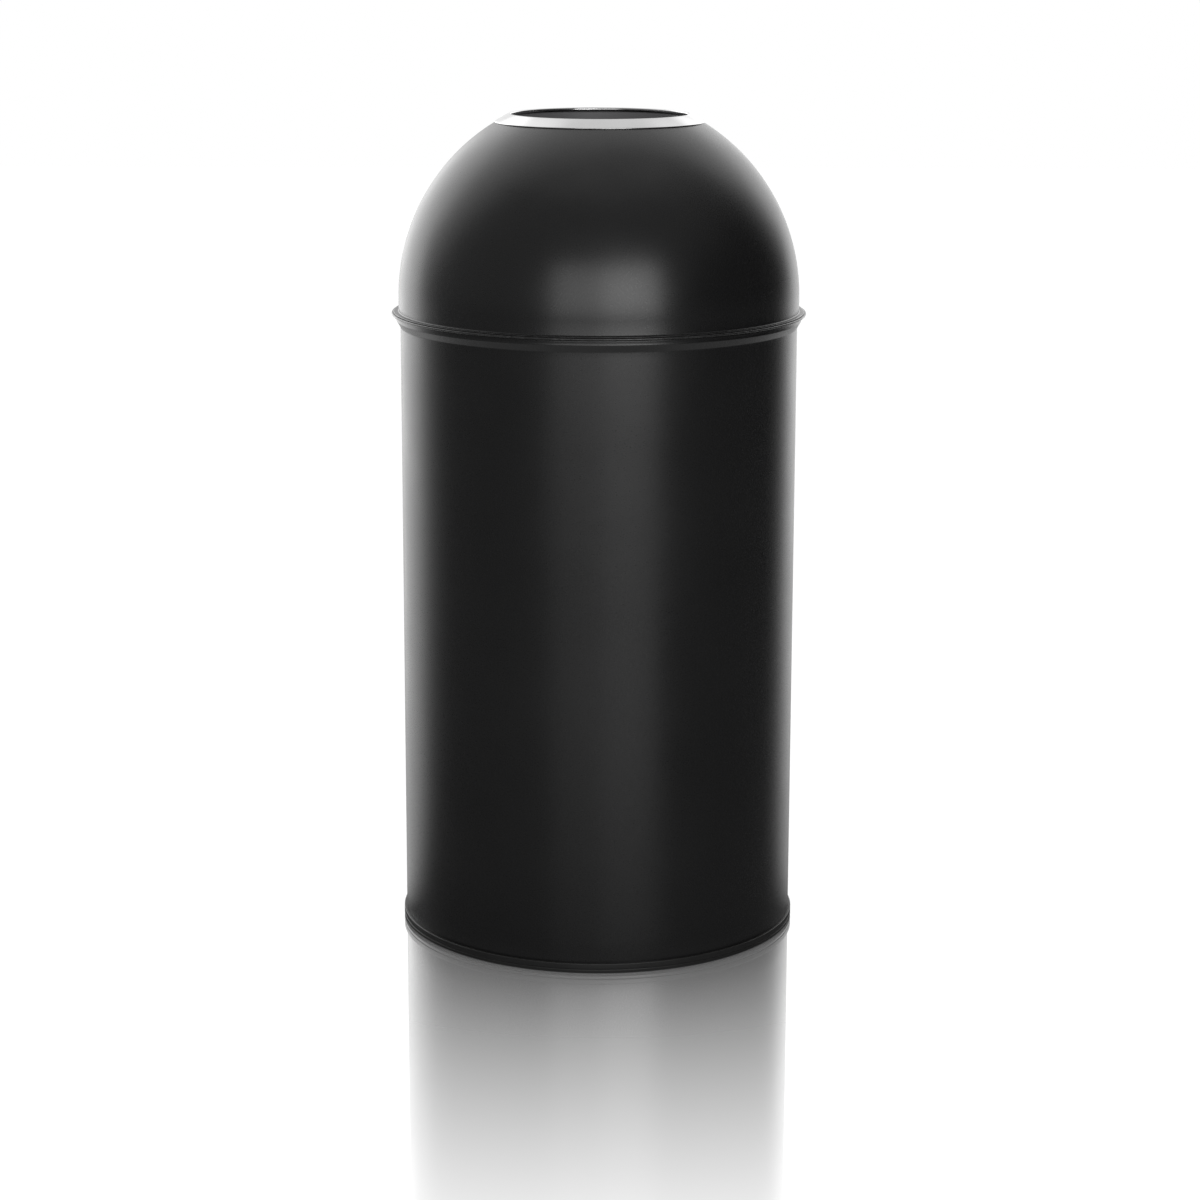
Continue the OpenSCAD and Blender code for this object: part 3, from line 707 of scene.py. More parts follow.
def makeBodyShell(wanted):
    half, edge = wanted["sheet"] / 2, wanted["neckEdge"]
    wall, neck = wallRadius - half, bodyHigh.x - half
    neckLow, neckIn = wallTop + wanted["flareHeight"], neck - wanted["neckEdgeOut"]
    rungs = math.ceil((wallTop - bodyLow.z) / wanted["wallStep"])
    rise = (wallTop - wanted["flareBend"] * 2 - bodyLow.z) / rungs
    corners = [(wall, bodyLow.z + rise * i) for i in range(rungs + 1)]
    corners += [(wall, wallTop, wanted["flareBend"]), (neck, neckLow, wanted["neckBend"]),
                (neckIn, neckLow + edge, edge), (neckIn, beadPlace[1] - edge, edge), (neck, beadPlace[1])]
    curl = arcPoints(beadPlace, wanted["bead"] - half, 0, wanted["curlEndDeg"], 9)
    section = sheetSection(bentPath(corners, 6) + curl[1:], wanted["sheet"])
    seamTurn = wanted["seamWidth"] / 2 / wallRadius
    back = math.pi / 2
    fine = [back] + [back + k * side * seamTurn for k in wanted["seamLines"] for side in (-1, 1)]
    coarse = [2 * math.pi * i / turnSteps for i in range(turnSteps)]
    apart = math.pi / turnSteps
    angles = sorted(fine + [a for a in coarse if min(abs(a - f) for f in fine) > apart])
    mesh = turnedMesh(section, bodyBlack, angles)
    # the ground weld of the long seam: a shallow line down the back
    seamTop = wallTop - wanted["flareBend"]
    for vertex in mesh.vertices:
        x, y, z = vertex.co
        radius = math.hypot(x, y)
        offSeam = abs(math.atan2(y, x) - back) / seamTurn
        if radius > wallRadius - half / 2 and offSeam < wanted["seamEdge"] and z < seamTop:
            share = 1 if offSeam < wanted["seamFloor"] else wanted["seamEdgeDepth"]
            scale = (radius - wanted["seamDepth"] * share) / radius
            vertex.co = (x * scale, y * scale, z)
    newPiece("bodyShell", mesh, "body", replaces=["body_shell"])


makeBodyShell(bodySet)

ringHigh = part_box("base_ring")[1]
panLow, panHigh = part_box("base_pan")
baseSet = {
    "footWidth": 12 * mm, "floor": 2.5 * mm, "ridgeLift": 1.4 * mm, "lowerRidge": 3 * mm,
    "groove": 0.5 * mm, "ridgeEdge": 0.6 * mm, "nestGap": 0.1 * mm, "wall": 1.6 * mm,
    "innerWall": 1.8 * mm, "innerWallTop": 9 * mm, "innerFillet": 1.2 * mm, "softEdge": 0.4 * mm,
    "panSheet": 1 * mm, "panTop": 12 * mm, "panRib": 118 * mm, "panRibWidth": 16 * mm,
    "panRibHeight": 3 * mm, "panBend": 1.3 * mm,
}


def makeBaseRing(wanted):
    channelOut = wallRadius + wanted["nestGap"]
    channelIn = panHigh.x - wanted["panSheet"] - wanted["nestGap"]
    grooveRadius = channelOut + wanted["wall"]
    innerRadius, innerTop = channelIn - wanted["innerWall"], wanted["innerWallTop"]
    footIn = wallRadius - wanted["footWidth"]
    outer, soft, edge = ringHigh.x, wanted["softEdge"], wanted["ridgeEdge"]
    floor, low = wanted["floor"], wanted["ridgeLift"]
    grooveLow = low + wanted["lowerRidge"]
    grooveHigh = grooveLow + wanted["groove"]
    outline = bentPath([
        (wallRadius, low), (outer, low, edge), (outer, grooveLow, edge), (grooveRadius, grooveLow),
        (grooveRadius, grooveHigh), (outer, grooveHigh, edge), (outer, ringHigh.z, edge),
        (channelOut, ringHigh.z), (channelOut, floor), (channelIn, floor),
        (channelIn, innerTop, soft), (innerRadius, innerTop, soft),
        (innerRadius, floor, wanted["innerFillet"]), (footIn, floor, soft),
        (footIn, 0, soft), (wallRadius, 0, soft), (wallRadius, low)])[:-1]
    newPiece("baseRing", turnedMesh(outline, baseBlack), "body", replaces=["base_ring"])


def makeBasePan(wanted):
    half, bend = wanted["panSheet"] / 2, wanted["panBend"]
    level = wanted["panTop"] - half
    ribLevel = level + wanted["panRibHeight"]
    ribIn = wanted["panRib"] - half
    ribOut = ribIn + wanted["panRibWidth"]
    edge = panHigh.x - half
    path = bentPath([
        (0, level), (ribIn, level, bend), (ribIn, ribLevel, bend), (ribOut, ribLevel, bend),
        (ribOut, level, bend), (edge, level, bend), (edge, panLow.z + half)])
    section = [(max(0, r), z) for r, z in sheetSection(path, wanted["panSheet"])]
    newPiece("basePan", turnedMesh(section, innerBlack), "body", replaces=["base_pan"])


makeBaseRing(baseSet)
makeBasePan(baseSet)
print("body made")

# Lid

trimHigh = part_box("trim_ring")[1]
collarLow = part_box("opening_collar")[0]
openingSet = {
    "opening": 84 * mm, "trimWidth": 15.5 * mm, "trimSheet": 0.9 * mm, "trimLip": 4.5 * mm,
    "trimBend": 1 * mm, "trimSteps": 360, "collarRoll": 1.9 * mm, "rollEndDeg": 438,
    "collarBend": 2 * mm, "holeGap": 0.5 * mm, "collarInset": 2 * mm, "stepDeg": 0.4,
}
trimMiddle = lidRadius + lidSet["nestGap"] / 2 + openingSet["trimSheet"] / 2
collarMiddle = lidRadius - lidSet["sheet"] - lidSet["nestGap"] / 2 - lidSet["sheet"] / 2
collarWall = openingSet["opening"] + openingSet["trimSheet"] + lidSet["nestGap"] + lidSet["sheet"] / 2
domeHole = collarWall + lidSet["sheet"] / 2 + openingSet["holeGap"]


def onSphere(sphere, radius):
    return (radius, domeHeight + math.sqrt(sphere * sphere - radius * radius))


def makeDomeShell(wanted):
    half = wanted["sheet"] / 2
    sphere = lidRadius - half
    startDeg = math.degrees(math.acos(domeHole / sphere))
    path = arcPoints((0, domeHeight), sphere, startDeg, 0, wanted["domeStepDeg"])
    path += arcPoints(bendPlace, wanted["bend"] + half, 180, 270, 10)
    path.append((domeHigh.x - half, flangeTop - half))
    mesh = turnedMesh(sheetSection(path, wanted["sheet"]), lidBlack)
    newPiece("domeShell", mesh, "lid", replaces=["dome_shell"])


def makeLocatingSkirt(wanted):
    # up inside the body's mouth, out over its rim, and folded back on itself at the lip
    half = wanted["sheet"] / 2
    wall, level = wanted["radius"] - half, skirtHigh.z - half
    path = bentPath([
        (wall - wanted["hemIn"], skirtLow.z + half),
        (wall, skirtLow.z + wanted["hemHeight"], wanted["hemBend"]),
        (wall, level, wanted["topBend"] + half), (lipPlace[0], level)])
    fold = arcPoints(lipPlace, wanted["lip"] - half, 90, -90, 15)
    path += fold[1:] + [(fold[-1][0] - wanted["lipLeg"] + half, fold[-1][1])]
    mesh = turnedMesh(sheetSection(path, wanted["sheet"]), skirtBlack)
    newPiece("locatingSkirt", mesh, "lid", replaces=["locating_skirt"])


def makeTrimRing(wanted):
    half = wanted["trimSheet"] / 2
    outer = wanted["opening"] + wanted["trimWidth"] - half
    inner = wanted["opening"] + half
    arcEnd = inner + 2.5 * wanted["trimBend"]  # leaves room for the bend
    angles = [math.degrees(math.acos(r / trimMiddle)) for r in (outer, arcEnd)]
    path = arcPoints((0, domeHeight), trimMiddle, *angles, wanted["stepDeg"])
    corner = (*onSphere(trimMiddle, inner), wanted["trimBend"])
    path = bentPath([*path, corner, (inner, trimHigh.z - wanted["trimLip"] + half)])
    section = sheetSection(path, wanted["trimSheet"])
    mesh = turnedMesh(section, brightTrim, steps=wanted["trimSteps"])
    newPiece("trimRing", mesh, "lid", replaces=["trim_ring"])


def makeOpeningCollar(wanted):
    half = lidSet["sheet"] / 2
    outer = wanted["opening"] + wanted["trimWidth"] - wanted["collarInset"] - half
    rollPlace = (collarWall - half + wanted["collarRoll"], collarLow.z + wanted["collarRoll"])
    corner = (*onSphere(collarMiddle, collarWall), wanted["collarBend"])
    path = bentPath([onSphere(collarMiddle, outer), onSphere(collarMiddle, (outer + collarWall) / 2),
                     corner, (collarWall, rollPlace[1])])
    path = path[:-1] + arcPoints(rollPlace, wanted["collarRoll"] - half, 180, wanted["rollEndDeg"])
    # the collar carries the paler black, painted light for the shaded opening
    mesh = turnedMesh(sheetSection(path, lidSet["sheet"]), collarPaintedLightBlack)
    newPiece("openingCollar", mesh, "lid", replaces=["opening_collar"])


makeDomeShell(lidSet)
makeLocatingSkirt(skirtSet)
makeTrimRing(openingSet)
makeOpeningCollar(openingSet)

fastenerSet = {
    "count": 4, "ownTurn": 1.4, "bore": 1.6 * mm, "sharpDeg": 25,
    "stud": 1.5 * mm, "studLength": 9 * mm, "studEnd": 0.5 * mm, "studNeck": 2 * mm,
    "studGap": 0.01 * mm, "thread": 0.5 * mm, "threadDepth": 0.22 * mm,
    "washer": 3.7 * mm, "washerSheet": 0.6 * mm, "washerGap": 0.12 * mm, "washerEdge": 0.12 * mm,
    "nut": 3.18 * mm, "nutHeight": 2.4 * mm, "nutChamfer": 0.35 * mm, "chamferLean": 1.2, "nutSteps": 24,
}


def makeStudShape(wanted, top):
    # a plain neck under the weld and rolled ridges below it
    radius, root = wanted["stud"], wanted["stud"] - wanted["threadDepth"]
    low = top - wanted["studLength"]
    outline = [(0, low), (radius - wanted["studEnd"], low)]
    z = low + wanted["studEnd"]
    while z < top - wanted["studNeck"]:
        outline += [(root, z), (radius, z + wanted["thread"] / 2)]
        z += wanted["thread"]
    outline += [(radius, z), (radius, top), (0, top)]
    return turnedMesh(outline, plainWire, steps=20)


def makeNutShape(wanted, top):
    # a hexagon whose corners are turned off top and bottom, with its bore
    low, chamfer, corner = top - wanted["nutHeight"], wanted["nutChamfer"], wanted["nut"]
    flat = corner * math.cos(math.pi / 6)
    angles = [2 * math.pi * i / wanted["nutSteps"] for i in range(wanted["nutSteps"])]

    def reach(angle):
        # from the axis to the hexagon
        side = (angle + math.pi / 6) % (math.pi / 3) - math.pi / 6
        return flat / math.cos(side - math.copysign(math.pi / 6, side))

    share = 1 - chamfer / corner * wanted["chamferLean"]
    turned = [min(reach(a), flat) * share for a in angles]
    full = [reach(a) for a in angles]
    bore = [wanted["bore"]] * len(angles)
    levels = [(low, turned), (low + chamfer, full), (top - chamfer, full), (top, turned),
              (top, bore), (low, bore)]
    work = bmesh.new()
    rings = [[work.verts.new((r * math.cos(a), r * math.sin(a), z)) for r, a in zip(radii, angles)]
             for z, radii in levels]
    addStrips(work, rings + rings[:1])
    return closeMesh(meshOf("nutShape", work), wanted["sharpDeg"])


def makeFasteners(wanted):
    tilt = math.asin((domeHole + openingSet["opening"] + openingSet["trimWidth"]) / 2 / lidRadius)
    studTop = lidRadius + lidSet["nestGap"] / 2 - wanted["studGap"]
    washerTop = collarMiddle - lidSet["sheet"] / 2 - wanted["washerGap"]
    nutTop = washerTop - wanted["washerSheet"]
    bore, rim, soft = wanted["bore"], wanted["washer"], wanted["washerEdge"]
    washer = bentPath([
        (bore + soft, nutTop), (bore, nutTop + soft), (bore, washerTop), (rim, washerTop, soft),
        (rim, nutTop, soft), (bore + soft, nutTop)])[:-1]
    shapes = [
        ("trimStuds", makeStudShape(wanted, studTop), "plain_wire", plainWire, "trim_studs"),
        ("trimWashers", turnedMesh(washer, zincSmall, steps=32), "zinc", zincSmall, "trim_washers"),
        ("trimNuts", makeNutShape(wanted, nutTop), "zinc", zincSmall, "trim_nuts"),
    ]
    for name, shape, slot, finish, node in shapes:
        mesh = growCopies("ringOnDome", shape, finish, {
            "Count": wanted["count"], "Centre Height": domeHeight, "Tilt": tilt,
            "Own Turn": wanted["ownTurn"]}, wanted["sharpDeg"])
        newPiece(name, mesh, "lid", replaces=[node])


weldSet = {
    "sink": 0.02 * mm,
    # from the axis out and back under the mark, as shares of its radius and depth
    "profile": ((0, 0), (1, 0), (0.9, 0.8), (0.72, 1), (0.5, 0.45), (0, 0.3)),
}


def makeWeldShape(radius, depth, facing):
    # the shallow round mark of a spot weld, a closed lens that stands out along X
    mesh = turnedMesh([(radius * r, depth * z) for r, z in weldSet["profile"]], innerBlack, steps=20)
    mesh.transform(Matrix.Rotation(facing * math.pi / 2, 4, "Y"))
    return mesh


makeFasteners(fastenerSet)
skirtWeld = makeWeldShape(skirtSet["weldRadius"], skirtSet["weldDepth"], 2)
skirtWelds = growCopies("rowsOnDrum", skirtWeld, innerBlack, {
    "Columns": skirtSet["welds"], "Drum Radius": skirtSet["weldPlace"],
    "Low Row": skirtHigh.z - skirtSet["sheet"] + weldSet["sink"],
    "Column Angle": 2 * math.pi / skirtSet["welds"], "Seed": skirtSet["weldSeed"]})
newPiece("skirtWelds", skirtWelds, "lid")
print("lid made")

# Liner

linerLow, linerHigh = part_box("liner_shell")
joints = {j["name"]: j for j in frame["joints"]}
pivotHeight = joints["bail_swing"]["pos_m"][2]
linerSet = {
    "sheet": 0.7 * mm, "bead": 2.5 * mm, "swage": 4 * mm, "swages": (140 * mm, 400 * mm), "swageDeg": 62,
    "rimEndDeg": -106, "fillet": 0.9 * mm, "nestGap": 0.1 * mm, "chime": 8 * mm, "lipGap": 0.6 * mm,
    "bottomBend": 1.6 * mm, "bottomRings": (0, 0.4, 0.8),  # where its flat is divided
    "seamWidth": 8 * mm, "seamThickness": 1.4 * mm, "seamFold": 0.5 * mm, "seamSink": 0.05 * mm,
    "seamLow": 0.4 * mm, "seamBelowBead": 1.2 * mm, "seamEdge": 0.3 * mm, "seamRound": 0.5 * mm,
    "foldEdge": 0.35 * mm, "foldStep": 0.2 * mm, "foldShares": (0.35, 0.3),  # of half its width
}
linerBead = (linerHigh.x - linerSet["bead"], linerHigh.z - linerSet["bead"])
linerRadius = linerBead[0] + linerSet["sheet"] - linerSet["bead"]


def linerWall(wanted, radius, swageRadius, low, high):
    # a path up the wall, over the swages
    centre = linerRadius - wanted["sheet"]
    corners = [(radius, low)]
    for lift in wanted["swages"]:
        z = linerLow.z + lift
        rise = math.sqrt(swageRadius ** 2 - (radius - centre) ** 2)
        corners.append((radius, z - rise, wanted["fillet"]))
        corners += arcPoints((centre, z), swageRadius, -wanted["swageDeg"], wanted["swageDeg"], 9)
        corners.append((radius, z + rise, wanted["fillet"]))
    return bentPath([*corners, (radius, high)])


def makeLinerShell(wanted):
    half = wanted["sheet"] / 2
    path = linerWall(wanted, linerRadius - half, wanted["swage"] - half, linerLow.z + half, linerBead[1])
    path = path[:-1] + arcPoints(linerBead, wanted["bead"] - half, 180, wanted["rimEndDeg"], 10)
    mesh = turnedMesh(sheetSection(path, wanted["sheet"]), zincSheet)
    newPiece("linerShell", mesh, "liner", replaces=["liner_shell"])


def makeLinerSeam(wanted):
    # the folded lock seam: a flat strip with a step, swept up the wall over the swages
    half, width = wanted["seamThickness"] / 2, wanted["seamWidth"] / 2
    edge, foldHeight = wanted["seamEdge"], half - wanted["seamFold"]
    foldLow, foldHigh = [width * share for share in wanted["foldShares"]]
    wall = linerWall(wanted, linerRadius + half - wanted["seamSink"], wanted["swage"] + half,
                     linerLow.z + wanted["seamLow"],
                     linerBead[1] - wanted["bead"] - wanted["seamBelowBead"])
    outline = bentPath([
        (0, -half), (width, -half, edge), (width, foldHeight, wanted["foldEdge"]), (foldLow, foldHeight),
        (foldHigh, half, wanted["foldStep"]), (-width, half, wanted["seamRound"]),
        (-width, -half, edge), (0, -half)])[:-1]
    mesh = sweptMesh([(0, r, z) for r, z in wall], False, outline, zincSheet)
    newPiece("linerSeam", mesh, "liner")


def makeLinerBottom(wanted):
    half = wanted["sheet"] / 2
    edge = linerRadius - wanted["sheet"] - wanted["nestGap"] - half
    level = linerLow.z + wanted["chime"] + half
    path = bentPath([*[(edge * share, level) for share in wanted["bottomRings"]],
                     (edge, level, wanted["bottomBend"]), (edge, linerLow.z + wanted["lipGap"] + half)])
    section = [(max(0, r), z) for r, z in sheetSection(path, wanted["sheet"])]
    newPiece("linerBottom", turnedMesh(section, zincSheet), "liner", replaces=["liner_bottom"])


makeLinerShell(linerSet)
makeLinerSeam(linerSet)
makeLinerBottom(linerSet)

earLow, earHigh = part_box("right_ear")
earSet = {
    "sheet": 1.6 * mm, "corner": 5 * mm, "plateEdge": 0.25 * mm, "gap": 0.1 * mm,
    "boss": 6 * mm, "bore": 2.58 * mm, "boreEdge": 0.5 * mm, "bossEdge": 1.1 * mm, "bossSink": 0.3 * mm,
    "fillet": 1.2 * mm, "filletOut": 1.44 * mm, "filletLow": 0.35 * mm,
    "rivet": 1.6 * mm, "rivetHead": 3.2 * mm, "headHeight": 1.12 * mm, "rivetSpan": 25 * mm,
    "headShares": (0.86, 0.6),  # where the inner head's edge is turned off
}
earInside = linerRadius + earSet["gap"]
earOutside = earInside + earSet["sheet"]
alongX = Matrix.Rotation(math.pi / 2, 4, "Y")  # turns what is made round Z


def makeEarPlate(wanted):
    # a flat plate with round corners, bent to the liner's wall, on the +X side
    width, height = earHigh.y, (earHigh.z - earLow.z) / 2
    corner, soft = wanted["corner"], wanted["plateEdge"]
    outline = []
    for signX, signY, startDeg in ((1, 1, 0), (-1, 1, 90), (-1, -1, 180), (1, -1, 270)):
        centre = (signX * (width - corner), signY * (height - corner))
        outline += arcPoints(centre, corner, startDeg, startDeg + 90, 11)
    work = bmesh.new()
    rims = []
    for depth, inset in ((earInside, 0), (earOutside - soft, 0), (earOutside, soft)):
        placed = [(x * (1 - inset / width) / linerRadius, y * (1 - inset / height)) for x, y in outline]
        rims.append([work.verts.new((depth * math.cos(turn), depth * math.sin(turn), pivotHeight + y))
                     for turn, y in placed])
    addStrips(work, rims)
    # columns of faces across the plate, so that it bends smoothly
    quarter = len(outline) // 4
    for rim in (rims[0], rims[-1]):
        order = rim[quarter:] + rim[:quarter]
        pairs = list(zip(order, order[::-1]))[:len(order) // 2]
        for (a, b), (c, d) in zip(pairs, pairs[1:]):
            work.faces.new((a, c, d, b))
    return closeMesh(meshOf("earPlate", work), 30)


def makeEarBoss(wanted):
    # a drawn collar with a rounded mouth and a fillet at its foot, along +X
    foot, end = earOutside - wanted["bossSink"], earHigh.x
    bore, boss, fillet = wanted["bore"], wanted["boss"], wanted["fillet"]
    filletEnd = boss + wanted["filletOut"]
    outline = bentPath([
        (bore, foot), (bore, end, wanted["boreEdge"]), (boss, end, wanted["bossEdge"]),
        (boss, foot + fillet, fillet), (filletEnd, foot + wanted["filletLow"]), (filletEnd, foot)])
    mesh = turnedMesh(outline, zincSmall, steps=48)
    mesh.transform(Matrix.Translation((0, 0, pivotHeight)) @ alongX)
    return mesh


def makeEars(wanted):
    for turn, name, node in ((0, "rightEar", "right_ear"), (math.pi, "leftEar", "left_ear")):
        work = bmesh.new()
        for mesh in (makeEarPlate(wanted), makeEarBoss(wanted)):
            work.from_mesh(mesh)
        ear = meshOf(name, work)
        ear.transform(Matrix.Rotation(turn, 4, "Z"))
        newPiece(name, ear, "liner", zincSmall, [node])


def makeRivetShape(wanted):
    # domed head outside, flat head inside, shank between them, along +X from the wall
    inside = linerRadius - linerSet["sheet"] - wanted["gap"]
    outside = earOutside + wanted["gap"]
    head, high = wanted["rivetHead"], wanted["headHeight"]
    edgeRadius, edgeHeight = head * wanted["headShares"][0], high * wanted["headShares"][1]
    dome = (head ** 2 + high ** 2) / (2 * high)
    rim = math.degrees(math.asin(head / dome))
    outline = [(0, inside - high), (edgeRadius, inside - high), (head, inside - edgeHeight),
               (head, inside), (wanted["rivet"], inside), (wanted["rivet"], outside)]
    outline += arcPoints((0, outside + high - dome), dome, 90 - rim, 90, 6)
    mesh = turnedMesh(outline, plainWire, steps=28)
    mesh.transform(Matrix.Translation((-linerRadius, 0, 0)) @ alongX)
    return mesh


def makeRivets(wanted):
    turn = math.asin(wanted["rivetSpan"] / 2 / linerRadius)
    sides = ((0, "rightEarRivets", "right_ear_rivets"), (math.pi, "leftEarRivets", "left_ear_rivets"))
    for start, name, node in sides:
        mesh = growCopies("rowsOnDrum", makeRivetShape(wanted), plainWire, {
            "Columns": 2, "Drum Radius": linerRadius, "Low Row": pivotHeight,
            "First Angle": start - turn, "Column Angle": 2 * turn})
        newPiece(name, mesh, "liner", replaces=[node])


makeEars(earSet)
makeRivets(earSet)

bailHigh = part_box("bail_handle")[1]
bailSet = {
    "wire": 2.5 * mm, "elbow": 6 * mm, "leg": 20 * mm, "runHalf": 60 * mm, "pinGap": 0.4 * mm,
    "grip": 8 * mm, "gripHalf": 55 * mm, "collar": 1 * mm, "grooves": 9, "groove": 1.2 * mm,
    "runGap": 0.08 * mm,
}
gripPlace = Vector(joints["grip_turn"]["pos_m"])
bailUp = (gripPlace - Vector((0, 0, pivotHeight))).normalized()


def makeBail(wanted):
    pinEnd, legX = earOutside + wanted["pinGap"], bailHigh.x - wanted["wire"]
    bend = legX - wanted["runHalf"]
    half = bentPath([(pinEnd, 0), (legX, 0, wanted["elbow"]), (legX, wanted["leg"])], 9)
    half += arcPoints((wanted["runHalf"], wanted["leg"]), bend, 0, 90, 5)[1:]
    flat = half + [(-x, y) for x, y in half[::-1]]
    route = [Vector((x, 0, pivotHeight)) + bailUp * y for x, y in flat]
    circle = arcPoints((0, 0), wanted["wire"], 0, -360, 18)[:-1]
    mesh = sweptMesh(route, False, circle, plainWire)
    newPiece("bailHandle", mesh, "bail", replaces=["bail_handle"])


def makeGrip(wanted):
    radius, half, collar = wanted["grip"], wanted["gripHalf"], wanted["collar"]
    bore = wanted["wire"] + wanted["runGap"]
    pitch = 2 * half / (wanted["grooves"] + 3)
    first = -(wanted["grooves"] - 1) / 2 * pitch
    depth, reach = wanted["groove"] / 2, wanted["groove"]
    outline = [(bore, -half)]
    outline += arcPoints((radius - collar, -half + 2 * collar), 2 * collar, -90, 60)
    for i in range(wanted["grooves"]):
        z = first + i * pitch
        outline += [(radius - depth * (0.5 + 0.5 * math.cos(math.pi * k / 4)), z + reach * k / 4)
                    for k in range(-4, 5)]
    outline += arcPoints((radius - collar, half - 2 * collar), 2 * collar, -60, 90)
    outline.append((bore, half))
    mesh = turnedMesh(outline, gripBlack, steps=64)
    mesh.transform(Matrix.Translation(gripPlace) @ alongX)
    newPiece("bailGrip", mesh, "grip", replaces=["bail_grip"])


makeBail(bailSet)
makeGrip(bailSet)
print("liner made")

# What stays as the frame gives it, hidden in beads or behind the liner

keptNodes = (("seam_strap", innerBlack), ("body_rim_wire", plainWire), ("liner_rim_wire", plainWire))
for nodeName, finish in keptNodes:
    setFinish(frame["nodes"][nodeName].data, finish)

strapLow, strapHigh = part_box("seam_strap")
strapSet = {
    "columns": 2, "rows": 15, "side": 6 * mm, "end": 12 * mm, "weldRadius": 2.4 * mm,
    "weldDepth": 0.2 * mm, "weldScatter": 0.6 * mm, "weldSeed": 5,
}
strapRadius = strapHigh.y - lidSet["sheet"] + weldSet["sink"]
strapTurn = (strapHigh.x - strapSet["side"]) / strapRadius
strapWeld = makeWeldShape(strapSet["weldRadius"], strapSet["weldDepth"], -1)
strapWelds = growCopies("rowsOnDrum", strapWeld, innerBlack, {
    "Columns": strapSet["columns"], "Rows": strapSet["rows"], "Drum Radius": strapRadius,
    "Low Row": strapLow.z + strapSet["end"],
    "Row Pitch": (strapHigh.z - strapLow.z - 2 * strapSet["end"]) / (strapSet["rows"] - 1),
    "First Angle": math.pi / 2 - strapTurn, "Column Angle": 2 * strapTurn,
    "Scatter": strapSet["weldScatter"], "Seed": strapSet["weldSeed"]})
newPiece("strapWelds", strapWelds, "body")

# Floor, light and background

stageSet = {
    "floorHalf": 9.0, "floorDrop": 0.2 * mm, "floorPale": 0.8, "floorLift": 0.56, "floorFar": 0.12,
    "floorSteep": 0.6, "steepFull": 0.25, "steepEnd": 0.6,
    "mirrorNear": 0.19, "mirrorFar": 1.026, "mirrorMost": 0.888,
    "sheenNear": 0.25, "sheenFar": 1.8, "sheenLeast": 0.04, "sheenMost": 0.3, "sheenBack": 0.95,
    "sheenSlant": (0.7, 0.86), "sheenSteep": 0.36, "sheenBehind": (-0.2, 0.5), "sheenRoughness": 0.2,
    "ambient": 0.6,
}
glowSet = {
    # where the room is bright in a reflection: level, azimuth from straight behind and elevation
    # of the middle, and the angles from there to which it is full and at which it ends
    "overhead": (1.05, -13.2, 29.8, 44, 71),
    "backLeft": (2.5, -34, 2.3, 17, 30),
    "highLeft": (2.3, -37, 22, 13, 30),
    "crownLeft": (1.45, -38, 44, 8, 30),
    "backRight": (1.8, 19.9, 1.7, 9, 24),
    "highRight": (1.9, 28, 20, 7, 22),
    "crownRight": (1.3, 36, 40, 6, 26),
    "zenith": (0.55, 0, 81.4, 22, 52),
    "ceiling": (0.2, 180, 72.5, 40, 75),
    "leftWall": (0.22, -109.3, 5.4, 35, 80),
}


